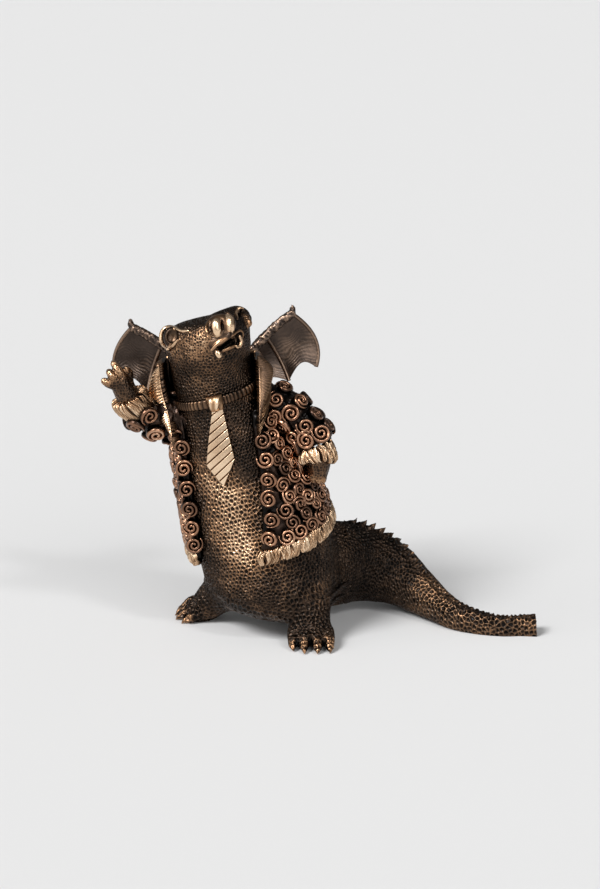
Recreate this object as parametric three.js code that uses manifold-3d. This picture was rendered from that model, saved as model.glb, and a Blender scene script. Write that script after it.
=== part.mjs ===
// A cast bronze dragon that stands on two short legs and its tail, head thrown back, in an open
// fleece coat with fur trims, a neckband and a tie. Millimetres, +Z up.
// +X is the dragon's left, along the tail. -Y is the side that its face and chest look to.
// Angles round the trunk start at +X and are -90 degrees straight to the front.
// It is made as a founder makes it: separate castings that seat on each other and are brazed.

import * as THREE from 'three';
import { mergeVertices } from 'three/addons/utils/BufferGeometryUtils.js';
import Module from 'manifold-3d';

const wasm = await Module();
wasm.setup();

// Driving sizes
const seatGap = 0.3; // brazing gap between castings that seat on each other

const neckJointHeight = 69; // height of the joint between trunk and head, under the neckband
const pinRadius = 1.5; // steady pins that locate castings on the trunk
const pinLength = 10;

const hemFrontHeight = 24.6; // lower edge of the coat at the front
const hemBackRise = 4.8; // how much higher the hem hangs at the back, over the tail
const hemHeight = 3.4; // fur trim along the hem
const hemThickness = 2.6;
const coatThickness = 1.7;
const sideSeamLeft = 15; // degrees, seams between the coat's back and its fronts
const sideSeamRight = 165;

const collarRise = 9.5; // the fur collar stands up round the neck, over the joint
const collarDrop = 3; // how far it reaches below the joint
const collarClearance = 1.6; // free space between the neck and the collar
const collarThickness = 2.3;
const lapelDrop = 12; // from the joint down to the tips of the lapels

const curlRadius = 2.5; // fleece curls
const curlWire = 0.6;
const curlSink = 0.7; // how deep a curl's wire sits in the coat, so that no light shows under it
const curlTurns = 1.3;
const curlSteps = 7;
const backCurlRadius = 3.4;

const bandHeight = 2.4;
const bandThickness = 0.9;
const knotWidth = 3.8;
const knotHeight = 3.9;
const knotDepth = 2;
const tieLength = 19.4;
const tieTopWidth = 3.1;
const tieWidth = 7.2;
const tiePointLength = 6.2;
const tieThickness = 1.2;
const tieStripes = 9;
const tieSlant = 1.4; // stripes that a stripe rises by across the blade
const tieDrift = -3.2; // the blade hangs plumb while the body leans, so its tip drifts aside

const cuffRadius = 5.1;
const clawLength = 2.2;
const toeRadius = 1.45;

const wingHeight = 70; // of the shoulders, where the wings join the coat
const wingSpan = 22; // from the spine to the wing's upper point, along the shoulders
const wingRise = 15.7; // from the shoulders up to that point
const wingThickness = 1.1;
const wingArmRadius = 1.35;
const wingRibRadius = 0.6;

const crestTeeth = 12;
const crestHeight = 1.8;
const scutePairs = 7;

const headRise = 15.8; // from the neck joint to the middle of the skull
const headTurn = 13; // degrees: to its left, thrown back, and tilted to its right
const headPitch = 18;
const headRoll = 18.5;
const skull = [11.2, 8.5, 5.8];
const muzzleLength = 13; // from the skull's centre to the nose

// Sections of the trunk from the seat to the crown of the neck: centre, half width, half depth
const trunkStations = [
  { at: [-15, 4.5, 4.8], half: [8, 7] },
  { at: [-14.4, 4.7, 7.4], half: [14, 13.3] },
  { at: [-13.6, 5, 13], half: [17.2, 16.4] },
  { at: [-15.1, 4.9, 21], half: [18.2, 16.8] },
  { at: [-18.2, 4.3, 33], half: [17.8, 15.2] },
  { at: [-21.6, 3.6, 44], half: [16.2, 13.8] },
  { at: [-25, 3.1, 55], half: [14.2, 12.6] },
  { at: [-27.9, 2.6, 66], half: [11.3, 10.7] },
  { at: [-29.9, 2.3, 74], half: [10.9, 10.4] },
  { at: [-30.6, 2, 82], half: [10.6, 10] },
  { at: [-31, 1.8, 88], half: [9.5, 8] },
];
const tailStations = [
  { at: [-9, 11, 14.5], half: [12.2, 12.7] },
  { at: [3, 20, 14.3], half: [12.6, 11.1] },
  { at: [12, 23.5, 12.8], half: [10.6, 9] },
  { at: [20, 22.8, 10.4], half: [9, 7.9] },
  { at: [26.5, 18.5, 7.3], half: [6.6, 6.3] },
  { at: [32.5, 11.5, 4.9], half: [4.5, 4.7], square: 2.2 },
  { at: [38, 5.5, 3.3], half: [3.5, 3.7], square: 2.4 },
  { at: [44, 1.9, 2.6], half: [2.9, 3], square: 2.6 },
  { at: [50, 0.4, 2.2], half: [2.5, 2.7], square: 3 },
  { at: [55, 0.6, 2.2], half: [2.5, 2.6], square: 3.4 },
  { at: [59.4, 0.4, 2.5], half: [2.8, 2.8], square: 4 },
];
const rightLegStations = [
  { at: [-24, 8.5, 13], half: [8.6, 8.6] },
  { at: [-29.5, 11.5, 7.4], half: [5.9, 6.1] },
  { at: [-33, 14, 3.2], half: [4.2, 5.4] },
  { at: [-35.8, 14.3, 1.7], half: [3.1, 5] },
];
const leftLegStations = [
  { at: [-6, 0, 13], half: [8.6, 8.6] },
  { at: [-3.6, -5, 7.4], half: [6.1, 6.2] },
  { at: [-2.9, -8.6, 3.3], half: [4, 5.6] },
  { at: [-2.8, -11.4, 1.7], half: [3.1, 5.2] },
];

// The arms, with their heights over or under the neck joint
const rightArmStations = [
  { at: [-37, 3, -7.6], half: [5.8, 6.2] },
  { at: [-42.5, 0.8, -7], half: [5, 5.8] },
  { at: [-47.6, -1.6, -5.4], half: [4.5, 4.7] },
  { at: [-50.6, -3.6, -2.4], half: [4, 3.9] },
  { at: [-52.8, -4.7, 1.4], half: [3.6, 3.2] },
  { at: [-54.8, -5, 5.6], half: [3.2, 2.8] },
];
const leftArmStations = [
  { at: [-17, 2.4, -3], half: [6.2, 6] },
  { at: [-9.6, 1, -5.2], half: [5.6, 5.5] },
  { at: [-4.8, -0.4, -9.4], half: [5, 5] },
  { at: [-2, -1.8, -13.6], half: [4.8, 4.8] },
  { at: [-1.2, -3, -18.6], half: [4, 3.6] },
  { at: [-1.2, -4.2, -22.6], half: [2.8, 2.4] },
];

const collarTopHeight = neckJointHeight + collarRise;
const collarBottomHeight = neckJointHeight - collarDrop;
const lapelTipHeight = neckJointHeight - lapelDrop;

const radians = THREE.MathUtils.degToRad;
const { lerp, smoothstep } = THREE.MathUtils;

// Finishes
const patina = { color: 0x4a3a2e, roughness: 0.42, metalness: 1 };
const rubbed = { color: 0xa87f5a, roughness: 0.34, metalness: 1 };
const fleece = { color: 0x6b4f40, roughness: 0.4, metalness: 1 };
const brass = { color: 0xb08d4f, roughness: 0.4, metalness: 1 };

// Solids and meshes

function asSolid(geometry) {
  const bare = geometry.clone();
  bare.deleteAttribute('normal');
  bare.deleteAttribute('uv');
  const merged = mergeVertices(bare, 1e-4);
  return new wasm.Manifold(new wasm.Mesh({
    numProp: 3,
    vertProperties: new Float32Array(merged.attributes.position.array),
    triVerts: new Uint32Array(merged.index.array),
  }));
}

function asGeometry(solid) {
  const { vertProperties, triVerts } = solid.getMesh();
  const geometry = new THREE.BufferGeometry();
  geometry.setAttribute('position', new THREE.BufferAttribute(vertProperties, 3));
  geometry.setIndex(new THREE.BufferAttribute(triVerts, 1));
  geometry.computeVertexNormals();
  return geometry;
}

// Turns a closed mesh inside out if its faces point inwards
function facingOut(points, faces) {
  const volume = faces.reduce((sum, [a, b, c]) => (
    sum + points[a].dot(new THREE.Vector3().crossVectors(points[b], points[c]))
  ), 0);
  const ordered = volume < 0 ? faces.map(([a, b, c]) => [a, c, b]) : faces;
  const geometry = new THREE.BufferGeometry().setFromPoints(points);
  geometry.setIndex(ordered.flat());
  return asSolid(geometry);
}

// A closed body through a row of rings with as many points each
function loft(rings) {
  const sides = rings[0].length;
  const points = rings.flat();
  const faces = [];
  for (let ring = 0; ring < rings.length - 1; ring += 1) {
    for (let side = 0; side < sides; side += 1) {
      const a = ring * sides + side;
      const b = ring * sides + (side + 1) % sides;
      faces.push([a, b, b + sides], [a, b + sides, a + sides]);
    }
  }
  for (const [ring, first] of [[rings[0], 0], [rings.at(-1), points.length - sides]]) {
    const centre = points.length;
    points.push(ring.reduce((sum, p) => sum.add(p), new THREE.Vector3()).divideScalar(sides));
    for (let side = 0; side < sides; side += 1) {
      const pair = [first + side, first + (side + 1) % sides];
      faces.push(first === 0 ? [centre, pair[1], pair[0]] : [centre, pair[0], pair[1]]);
    }
  }
  return facingOut(points, faces);
}

// A closed plate between two faces, each a function of u and v from 0 to 1
function plate(outer, inner, columns, rows) {
  const points = [];
  const faces = [];
  for (const face of [outer, inner]) {
    for (let row = 0; row <= rows; row += 1) {
      for (let column = 0; column <= columns; column += 1) {
        points.push(face(column / columns, row / rows));
      }
    }
  }
  const across = columns + 1;
  const inward = across * (rows + 1);
  const quad = (a, b, c, d) => faces.push([a, b, c], [a, c, d]);
  for (let row = 0; row < rows; row += 1) {
    for (let column = 0; column < columns; column += 1) {
      const a = row * across + column;
      quad(a, a + 1, a + 1 + across, a + across);
      quad(inward + a, inward + a + across, inward + a + 1 + across, inward + a + 1);
    }
  }
  for (let column = 0; column < columns; column += 1) {
    const low = column;
    const high = rows * across + column;
    quad(low, inward + low, inward + low + 1, low + 1);
    quad(high, high + 1, inward + high + 1, inward + high);
  }
  for (let row = 0; row < rows; row += 1) {
    const near = row * across;
    const far = near + columns;
    quad(near, near + across, inward + near + across, inward + near);
    quad(far, inward + far, inward + far + across, far + across);
  }
  return facingOut(points, faces);
}

function ellipsoid(centre, radii, turn = [0, 0, 0], segments = 14) {
  const geometry = new THREE.SphereGeometry(1, segments, Math.round(segments * 0.6));
  geometry.rotateX(Math.PI / 2);
  geometry.scale(...radii);
  geometry.applyMatrix4(new THREE.Matrix4().makeRotationFromEuler(
    new THREE.Euler(...turn.map(radians), 'ZXY'),
  ));
  geometry.translate(...centre);
  return asSolid(geometry);
}

function rod(from, to, radius, sides = 12, endRadius = radius) {
  const along = to.clone().sub(from);
  const geometry = new THREE.CylinderGeometry(endRadius, radius, along.length(), sides);
  const turn = new THREE.Quaternion().setFromUnitVectors(
    new THREE.Vector3(0, 1, 0),
    along.clone().normalize(),
  );
  geometry.applyQuaternion(turn);
  geometry.translate(...from.clone().add(to).multiplyScalar(0.5));
  return asSolid(geometry);
}

const joined = (solids) => wasm.Manifold.union(solids);

// A cut can leave loose offcuts and slivers: the casting is the largest piece, without them
const sliver = 0.02;
function cut(solid, tools) {
  const pieces = solid.subtract(joined(tools)).decompose();
  const casting = pieces.reduce((best, piece) => (piece.volume() > best.volume() ? piece : best));
  return casting.simplify(sliver);
}

// Everything below the ground is cut away, so that what stands is flat underneath
const ground = asSolid(new THREE.BoxGeometry(400, 400, 20).translate(0, 0, -10));

// A limb is a smooth path with an oval section that follows it
class Limb {
  constructor(stations, sideways, base = 0) {
    this.path = new THREE.CatmullRomCurve3(
      stations.map(({ at: [x, y, z] }) => new THREE.Vector3(x, y, z + base)),
      false,
      'catmullrom',
    );
    this.sizes = new THREE.CatmullRomCurve3(
      stations.map(({ half, square = 2 }) => new THREE.Vector3(...half, square)),
      false,
      'catmullrom',
    );
    this.sideways = new THREE.Vector3(...sideways);
  }

  frame(t) {
    const at = this.path.getPoint(t);
    const along = this.path.getTangent(t);
    const across = this.sideways.clone().addScaledVector(along, -this.sideways.dot(along)).normalize();
    return { at, along, across, front: new THREE.Vector3().crossVectors(along, across) };
  }

  // A point of the skin, or over it by lift
  point(t, degrees, lift = 0) {
    const { at, across, front } = this.frame(t);
    const { x: half, y: depth, z: square } = this.sizes.getPoint(t);
    const cosine = Math.cos(radians(degrees));
    const sine = Math.sin(radians(degrees));
    const rounded = (value) => Math.sign(value) * Math.abs(value) ** (2 / square);
    at.addScaledVector(across, half * rounded(cosine)).addScaledVector(front, depth * rounded(sine));
    return lift === 0 ? at : at.addScaledVector(this.outward(t, degrees), lift);
  }

  // Direction straight out of the skin
  outward(t, degrees) {
    const step = 0.004;
    const low = Math.max(0, t - step);
    const high = Math.min(1, t + step);
    const along = this.point(high, degrees).sub(this.point(low, degrees));
    const round = this.point(t, degrees + 1).sub(this.point(t, degrees - 1));
    return round.cross(along).normalize();
  }

  ring(t, sides, lift) {
    return Array.from({ length: sides }, (_, side) => this.point(t, side * 360 / sides, lift));
  }

  // A closed body along a stretch of the path, larger on all sides by lift
  body(from, to, rings, sides, lift = 0) {
    const all = Array.from({ length: rings + 1 }, (_, ring) => (
      this.ring(lerp(from, to, ring / rings), sides, lift)
    ));
    const moved = (ring, t, distance) => {
      const { along } = this.frame(t);
      return ring.map((point) => point.clone().addScaledVector(along, distance));
    };
    if (lift > 0) {
      all.unshift(moved(all[0], from, -lift));
      all.push(moved(all.at(-1), to, lift));
    }
    return loft(all);
  }

  // The place along the path whose centre has the given height
  atHeight(height) {
    let low = 0;
    let high = 1;
    for (let step = 0; step < 30; step += 1) {
      const middle = (low + high) / 2;
      if (this.path.getPoint(middle).z < height) {
        low = middle;
      } else {
        high = middle;
      }
    }
    return low;
  }
}

const trunk = new Limb(trunkStations, [1, 0, 0]);
const tail = new Limb(tailStations, [0, 0, 1]);
const rightLeg = new Limb(rightLegStations, [0, 0, 1]);
const leftLeg = new Limb(leftLegStations, [0, 0, 1]);
const rightArm = new Limb(rightArmStations, [0, 1, 0], neckJointHeight);
const leftArm = new Limb(leftArmStations, [0, 1, 0], neckJointHeight);

// A point on or over the trunk, at a height of the spine and an angle round it
const round = (height, degrees, lift = 0) => trunk.point(trunk.atHeight(height), degrees, lift);

// The body twists: hips turned to its right, chest and neck to the front
const midline = (height) => (
  -96 - 28 * Math.max(0, (neckJointHeight - height) / (neckJointHeight - hemFrontHeight)) ** 1.3
);

// Half of the angle by which the coat stands open, wider at the neck
const opening = (height) => (
  lerp(31, 43, (height - hemFrontHeight) / (lapelTipHeight - hemFrontHeight))
  + 24 * smoothstep(height, lapelTipHeight, collarTopHeight)
);
const leftEdge = (height) => midline(height) + opening(height);
const rightEdge = (height) => midline(height) - opening(height);

// The hem hangs higher at the back
const hemLine = (degrees) => hemFrontHeight + hemBackRise * (
  smoothstep(degrees, -60, 50) - smoothstep(degrees, 130, 230)
);

const skinGap = seatGap * 2; // under the coat, whose flat facets span the trunk's curve
const coatLift = skinGap + coatThickness;
const coatTopHeight = neckJointHeight - bandHeight / 2 - 2 * seatGap;

// Steady pins and their bores

function steadyPin(limb, t) {
  const { at, along } = limb.frame(t);
  const half = pinLength / 2;
  const ends = (extra) => [
    at.clone().addScaledVector(along, -half - extra),
    at.clone().addScaledVector(along, half + extra),
  ];
  return {
    pin: rod(...ends(0), pinRadius),
    bore: rod(...ends(seatGap), pinRadius + seatGap),
  };
}

const headPin = steadyPin(trunk, trunk.atHeight(neckJointHeight));
const tailPin = steadyPin(tail, 0.075);
const rightLegPin = steadyPin(rightLeg, 0.2);
const leftLegPin = steadyPin(leftLeg, 0.2);

// Trunk

const trunkRings = 14;
const trunkSides = 24;

function trunkBody() {
  const body = trunk.body(0, trunk.atHeight(neckJointHeight - seatGap / 2), trunkRings, trunkSides);
  return cut(body, [headPin.bore, tailPin.bore, rightLegPin.bore, leftLegPin.bore]);
}

// What seats on the trunk is cut to its surface
const trunkSeat = trunk.body(
  0,
  trunk.atHeight(neckJointHeight - seatGap / 2),
  trunkRings,
  trunkSides,
  seatGap,
);
const neckSeat = trunk.body(
  trunk.atHeight(neckJointHeight - bandHeight),
  1,
  6,
  trunkSides,
  seatGap * 2 + bandThickness,
);
const coatSeat = trunk.body(0.2, trunk.atHeight(coatTopHeight), 12, trunkSides, coatLift + seatGap);

// Legs, each with four clawed toes

// A toe arches forward from the foot and ends in a claw
function toe(root, heading, length) {
  const ahead = (distance, height) => root.clone()
    .addScaledVector(heading, distance)
    .setZ(height);
  const claw = new Limb([
    { at: ahead(-1.6, 2.9).toArray(), half: [toeRadius, toeRadius] },
    { at: ahead(length * 0.35, 2.7).toArray(), half: [toeRadius, toeRadius] },
    { at: ahead(length, 1.2).toArray(), half: [toeRadius, toeRadius] },
    { at: ahead(length + clawLength * 0.6, 0.9).toArray(), half: [0.8, 0.8] },
    { at: ahead(length + clawLength, 0.3).toArray(), half: [0.25, 0.25] },
  ], [0, 0, 1]);
  return claw.body(0, 1, 5, 6);
}

function foot(limb, pin, centre, headingDegrees, toes) {
  const heading = new THREE.Vector3(
    Math.cos(radians(headingDegrees)),
    Math.sin(radians(headingDegrees)),
    0,
  );
  const aside = new THREE.Vector3(-heading.y, heading.x, 0);
  const parts = toes.map(([offset, length]) => (
    toe(new THREE.Vector3(...centre).addScaledVector(aside, offset), heading, length)
  ));
  return cut(joined([limb.body(0, 1, 6, 12), ...parts]), [ground, trunkSeat, pin.bore]);
}

const rightFoot = () => foot(rightLeg, rightLegPin, [-35.2, 14.4, 0], 188, [
  [-6, 2.6], [-2.2, 3.6], [1.6, 3.8], [5, 2.4],
]);
const leftFoot = () => foot(leftLeg, leftLegPin, [-2.8, -10.8, 0], -88, [
  [-5.2, 1.6], [-2.2, 3.4], [1.4, 4], [4.7, 3.3],
]);

// Tail, with a crest of teeth that lean back and two rows of small scutes after it

function crestTooth(t, degrees, height, length) {
  const root = tail.point(t, degrees, -0.6);
  const out = tail.outward(t, degrees);
  const { along } = tail.frame(t);
  const side = new THREE.Vector3().crossVectors(along, out);
  const ring = (forward, width, lift) => [[-1, 0], [0, 1], [1, 0], [0, -1]].map(([a, b]) => (
    root.clone()
      .addScaledVector(along, forward + a * length * 0.5 * width)
      .addScaledVector(side, b * length * 0.36 * width)
      .addScaledVector(out, lift)
  ));
  return loft([ring(0, 1, 0), ring(length * 0.5, 0.15, height)]);
}

function tailBody() {
  const teeth = Array.from({ length: crestTeeth }, (_, index) => {
    const t = lerp(0.12, 0.42, index / (crestTeeth - 1));
    return crestTooth(t, 0, lerp(crestHeight, crestHeight * 0.7, index / (crestTeeth - 1)), 2.9);
  });
  const scutes = Array.from({ length: scutePairs }, (_, index) => {
    const t = lerp(0.46, 0.92, index / (scutePairs - 1));
    return [24, -24].map((degrees) => crestTooth(t, degrees, crestHeight * 0.45, 2.1));
  }).flat();
  return cut(joined([tail.body(0, 1, 20, 14), ...teeth, ...scutes]), [ground, trunkSeat, tailPin.bore]);
}

// Head and neck in one casting

const headPlace = new THREE.Matrix4().compose(
  new THREE.Vector3(-31.1, 1.5, neckJointHeight + headRise),
  new THREE.Quaternion().setFromEuler(
    new THREE.Euler(radians(-headPitch), radians(-headRoll), radians(headTurn), 'ZXY'),
  ),
  new THREE.Vector3(1, 1, 1),
);
const inHead = (solid) => solid.transform(headPlace.elements);

// Features of one side of the face, with side 1 for the dragon's left
function ear(side) {
  const shell = ellipsoid([side * 10.3, 1.4, 1.4], [3.1, 2.6, 3.6], [0, 0, side * -20], 10);
  const hollow = ellipsoid([side * 9.9, -0.8, 1.4], [2, 2.1, 2.6], [0, 0, side * -20], 8);
  return shell.subtract(hollow);
}

function fang(side) {
  return rod(
    new THREE.Vector3(side * 3.2, -10.9, -3.4),
    new THREE.Vector3(side * 3.2, -11.6, -6.4),
    0.75,
    5,
    0.25,
  );
}

function headBody() {
  const nose = -muzzleLength;
  const mass = joined([
    ellipsoid([0, 0, 0], skull, [0, 0, 0], 14),
    ellipsoid([0, nose + 6.4, -0.8], [6.6, 6.2, 5.2], [0, 0, 0], 12),
    ellipsoid([0, -4, -4.6], [8.6, 7, 5], [0, 0, 0], 12),
    ...[-1, 1].map((side) => ellipsoid([side * 6.4, -5, 2.2], [2.2, 2, 1.5], [0, 0, 0], 8)),
    ...[-1, 1].map((side) => ellipsoid([side * 1.75, nose + 1.3, 0.5], [1.75, 1.7, 2.6], [0, 0, 0], 8)),
  ]);
  const cuts = joined([
    ellipsoid([0.2, nose + 0.8, -4.1], [3.6, 3.4, 1.25], [0, 4, 0], 10),
    ...[-1, 1].map((side) => ellipsoid([side * 6.6, -6.9, 2], [1.9, 1, 0.35], [0, 0, 0], 6)),
  ]);
  const tongue = ellipsoid([0.2, nose + 3.2, -5], [2, 2.4, 0.9], [0, 0, 0], 6);
  const face = joined([mass.subtract(cuts), tongue, ear(-1), ear(1), fang(-1), fang(1)]);
  const neck = trunk.body(trunk.atHeight(neckJointHeight + seatGap / 2), 1, 6, trunkSides);
  return cut(joined([neck, inHead(face)]), [headPin.bore]);
}

// Neckband, knot and tie

const bandLift = seatGap + bandThickness;

// A closed ring of sections round the trunk, each a list of height and lift
function hoop(count, section) {
  const points = [];
  const faces = [];
  for (let spot = 0; spot < count; spot += 1) {
    const outline = section(spot);
    outline.forEach(([height, lift], corner) => {
      points.push(round(height, spot * 360 / count, lift));
      const size = outline.length;
      const next = (corner + 1) % size;
      const here = spot * size;
      const there = ((spot + 1) % count) * size;
      faces.push([here + corner, here + next, there + next], [here + corner, there + next, there + corner]);
    });
  }
  return facingOut(points, faces);
}

function neckband() {
  const beads = 20;
  const half = bandHeight / 2;
  return hoop(beads * 2, (spot) => {
    const lift = bandLift - (spot % 2 ? 0.3 : 0);
    return [
      [neckJointHeight - half, seatGap],
      [neckJointHeight - half * 0.6, lift],
      [neckJointHeight + half * 0.6, lift],
      [neckJointHeight + half, seatGap],
    ];
  });
}

// Places on the front of the trunk, by millimetres across from straight to the front
function onFront(height, across, lift) {
  const radius = trunk.sizes.getPoint(trunk.atHeight(height)).y;
  return round(height, -90 + THREE.MathUtils.radToDeg(across / radius), lift);
}

function tieKnot() {
  const inner = bandLift + seatGap;
  const swell = (u, v) => 0.35 + 0.65 * Math.sin(Math.PI * u) ** 0.6 * Math.sin(Math.PI * v) ** 0.6;
  const place = (u, v, lift) => onFront(
    neckJointHeight + (v - 0.55) * knotHeight,
    (u - 0.5) * knotWidth * (0.8 + 0.2 * v),
    lift,
  );
  return plate(
    (u, v) => place(u, v, inner + knotDepth * swell(u, v)),
    (u, v) => place(u, v, inner),
    4,
    4,
  );
}

function tieBlade() {
  const top = neckJointHeight - knotHeight * 0.55 - seatGap * 2;
  const straight = tieLength - tiePointLength;
  // Half width along the blade, which comes to a point
  const half = (down) => (
    down < straight
      ? lerp(tieTopWidth, tieWidth, down / straight) / 2
      : lerp(tieWidth / 2, 0.3, (down - straight) / tiePointLength)
  );
  const down = (v) => (v < 0.75 ? v / 0.75 * straight : straight + (v - 0.75) / 0.25 * tiePointLength);
  const place = (u, v, lift) => onFront(top - down(v), (u * 2 - 1) * half(down(v)) + tieDrift * v, lift);
  // The stripes are slanted grooves
  const groove = (u, v) => 0.35 * (0.5 + 0.5 * Math.cos(2 * Math.PI * (v * tieStripes + u * tieSlant)));
  return plate(
    (u, v) => place(u, v, seatGap * 1.4 + tieThickness - groove(u, v)),
    (u, v) => place(u, v, seatGap * 1.4),
    3,
    30,
  );
}

// Fleece curls

// A spiral of wire, its outer end low and its centre raised, in the plane of across and up
function curl({ at, across, up, out }, radius, turn, hand) {
  const foot = -curlSink / curlWire;
  const section = [[1, foot], [0, 1.3], [-1, foot]];
  const rings = Array.from({ length: curlSteps + 1 }, (_, step) => {
    const part = step / curlSteps;
    const angle = turn + hand * part * curlTurns * 2 * Math.PI;
    const reach = radius * (1 - 0.72 * part) - curlWire;
    const thick = curlWire * (step === 0 ? 0.5 : 1);
    return section.map(([side, lift]) => at.clone()
      .addScaledVector(across, Math.cos(angle) * (reach + side * thick))
      .addScaledVector(up, Math.sin(angle) * (reach + side * thick))
      .addScaledVector(out, lift * thick + part * 0.2));
  });
  return loft(rings);
}

// The tangent frame of a surface given by a function of two values
function surfaceFrame(surface, u, v) {
  const step = 0.01;
  const at = surface(u, v);
  const across = surface(u + step, v).sub(at).normalize();
  const up = surface(u, v + step).sub(at);
  const out = new THREE.Vector3().crossVectors(across, up).normalize();
  return { at, across, up: new THREE.Vector3().crossVectors(out, across), out };
}

// Whether a point lies within a clearance of a limb's skin
function near(limb, point, clearance) {
  return Array.from({ length: 41 }, (_, index) => index / 40).some((t) => (
    limb.path.getPoint(t).distanceTo(point) < limb.sizes.getPoint(t).x + clearance
  ));
}

// Rows of curls over a surface, every other row set half a pitch aside. On a surface that isn't
// closed round a limb, no curl hangs over the sides.
function curls(surface, columns, rows, radius, isFree, closed = false) {
  const all = [];
  for (let row = 0; row < rows; row += 1) {
    const shift = row % 2 ? 0.25 : -0.25;
    const v = (row + 0.5) / rows;
    const width = surface(0, v).distanceTo(surface(0.5, v)) + surface(0.5, v).distanceTo(surface(1, v));
    const margin = closed ? 0 : Math.min(0.5, radius / width);
    for (let column = 0; column < columns; column += 1) {
      const u = THREE.MathUtils.clamp((column + 0.5 + shift) / columns, margin, 1 - margin);
      const place = surfaceFrame(surface, u, v);
      if (isFree(place.at)) {
        all.push(curl(place, radius, row * 2.4 + column * 1.7, (row + column) % 2 ? 1 : -1));
      }
    }
  }
  return all;
}

// Coat

// A part of the coat between two edges, given as angles at a height
function coatPanel(from, to, columns, [curlColumns, curlRows, curlTop], radius) {
  const top = (degrees) => coatTopHeight - 3.5 * smoothstep(Math.abs(degrees - 90), 110, 150);
  const place = (u, v, lift) => {
    const degreesLow = lerp(from(hemFrontHeight), to(hemFrontHeight), u);
    const bottom = hemLine(degreesLow) + hemHeight + seatGap;
    const height = lerp(bottom, top(degreesLow), v);
    return round(height, lerp(from(height), to(height), u), lift);
  };
  const shell = plate(
    (u, v) => place(u, v, coatLift),
    (u, v) => place(u, v, skinGap),
    columns,
    5,
  );
  const field = (u, v) => place(lerp(0.03, 0.97, u), lerp(0.02, curlTop, v), coatLift);
  const isFree = (point) => ![rightArm, leftArm].some((arm) => near(arm, point, radius + 0.8));
  return cut(joined([shell, ...curls(field, curlColumns, curlRows, radius, isFree)]), [collarRoom()]);
}

// The halves of a seam stand a gap apart
const seamGap = 1;
const coatBack = () => coatPanel(
  () => sideSeamLeft + seamGap / 2,
  () => sideSeamRight - seamGap / 2,
  10,
  [4, 4, 0.76],
  backCurlRadius,
);
const coatLeftFront = () => coatPanel(
  leftEdge,
  () => sideSeamLeft - seamGap / 2,
  5,
  [4, 6, 0.86],
  curlRadius,
);
const coatRightFront = () => coatPanel(
  () => sideSeamRight + seamGap / 2,
  (height) => rightEdge(height) + 360,
  3,
  [2, 6, 0.86],
  curlRadius,
);

// Fur trims are bands with combed grooves
const combed = (along, count, depth) => depth * (0.5 - 0.5 * Math.cos(2 * Math.PI * along * count));

function hemTrim(from, to, grooves) {
  const place = (u, v, lift) => {
    const degrees = lerp(from(hemFrontHeight), to(hemFrontHeight), u);
    return round(hemLine(degrees) + v * hemHeight, degrees, lift);
  };
  const bulge = (v) => 0.55 + 0.45 * Math.sin(Math.PI * v);
  return plate(
    (u, v) => place(u, v, skinGap + hemThickness * bulge(v) - combed(u, grooves, 0.5)),
    (u, v) => place(u, v, skinGap),
    grooves * 2,
    2,
  );
}

const hemBack = () => hemTrim(() => sideSeamLeft + seamGap / 2, () => sideSeamRight - seamGap / 2, 16)
  .subtract(tailRoom);
const hemLeft = () => hemTrim(leftEdge, () => sideSeamLeft - seamGap / 2, 10);
const hemRight = () => hemTrim(
  () => sideSeamRight + seamGap / 2,
  (height) => rightEdge(height) + 360,
  5,
);
const tailRoom = tail.body(0, 0.5, 14, 18, seatGap);

// The collar stands round the neck and runs down the fronts as two lapels. Extra makes it larger,
// and as deep as the skin, as the room that the coat leaves for it.
function collarPiece(from, to, columns, lapelSide, extra = 0) {
  const spread = extra * 4;
  const top = collarTopHeight + extra;
  const place = (u, v, lift) => {
    const reach = lapelSide ? lerp(u, 1 - u, lapelSide < 0 ? 1 : 0) : 1;
    const hang = lapelSide ? smoothstep(reach, extra * 0.4, 0.75 + extra * 0.4) : 1;
    const bottom = lerp(lapelTipHeight, collarBottomHeight, hang) - extra * 3;
    const height = lerp(bottom, top, v);
    const front = lapelSide < 0 ? rightEdge(height) + 360 : leftEdge(height);
    const start = lapelSide > 0 ? front : from;
    const end = lapelSide < 0 ? front : to;
    const widen = smoothstep(height, lapelTipHeight - 1, collarBottomHeight + 2);
    const share = lapelSide ? lerp(0.12, 1, widen) : 1;
    const low = lapelSide < 0 ? lerp(end, start, share) : start;
    const high = lapelSide > 0 ? lerp(start, end, share) : end;
    return round(height, lerp(low - spread, high + spread, u), lift);
  };
  const fur = (v) => collarThickness * (0.5 + 0.5 * Math.sin(Math.PI * Math.min(1, v + 0.1)));
  const groove = extra > 0 ? 0 : 0.45;
  return plate(
    (u, v) => place(u, v, collarClearance + fur(v) - combed(v, 7, groove) + extra),
    (u, v) => place(u, v, extra > 0 ? 0 : collarClearance),
    columns,
    14,
  );
}

const collarSeam = 1.5;
const collarLeft = (extra) => collarPiece(0, 20 - collarSeam, 3, 1, extra);
const collarRight = (extra) => collarPiece(160 + collarSeam, 0, 3, -1, extra);
const collarBack = (extra) => collarPiece(20 + collarSeam, 160 - collarSeam, 7, 0, extra);
function collarRoom() {
  const room = seatGap * 2;
  return joined([collarLeft(room), collarRight(room), collarBack(room)]);
}

// Sleeves with curls, fur cuffs, and a paw out of each

const sleeveEnd = 0.58; // where each sleeve stops along its arm
const cuffEnd = 0.74;
const armSeam = 0.012;

function sleeve(arm, curlRows) {
  const body = arm.body(0, sleeveEnd, 7, 12);
  const field = (u, v) => arm.point(lerp(0.16, sleeveEnd - 0.04, v), 360 * u, 0);
  const isFree = (point) => !near(trunk, point, coatLift + curlRadius);
  const fleeceCurls = curls(field, 4, curlRows, curlRadius, isFree, true);
  return cut(joined([body, ...fleeceCurls]), [coatSeat, neckSeat, collarRoom()]);
}

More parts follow.
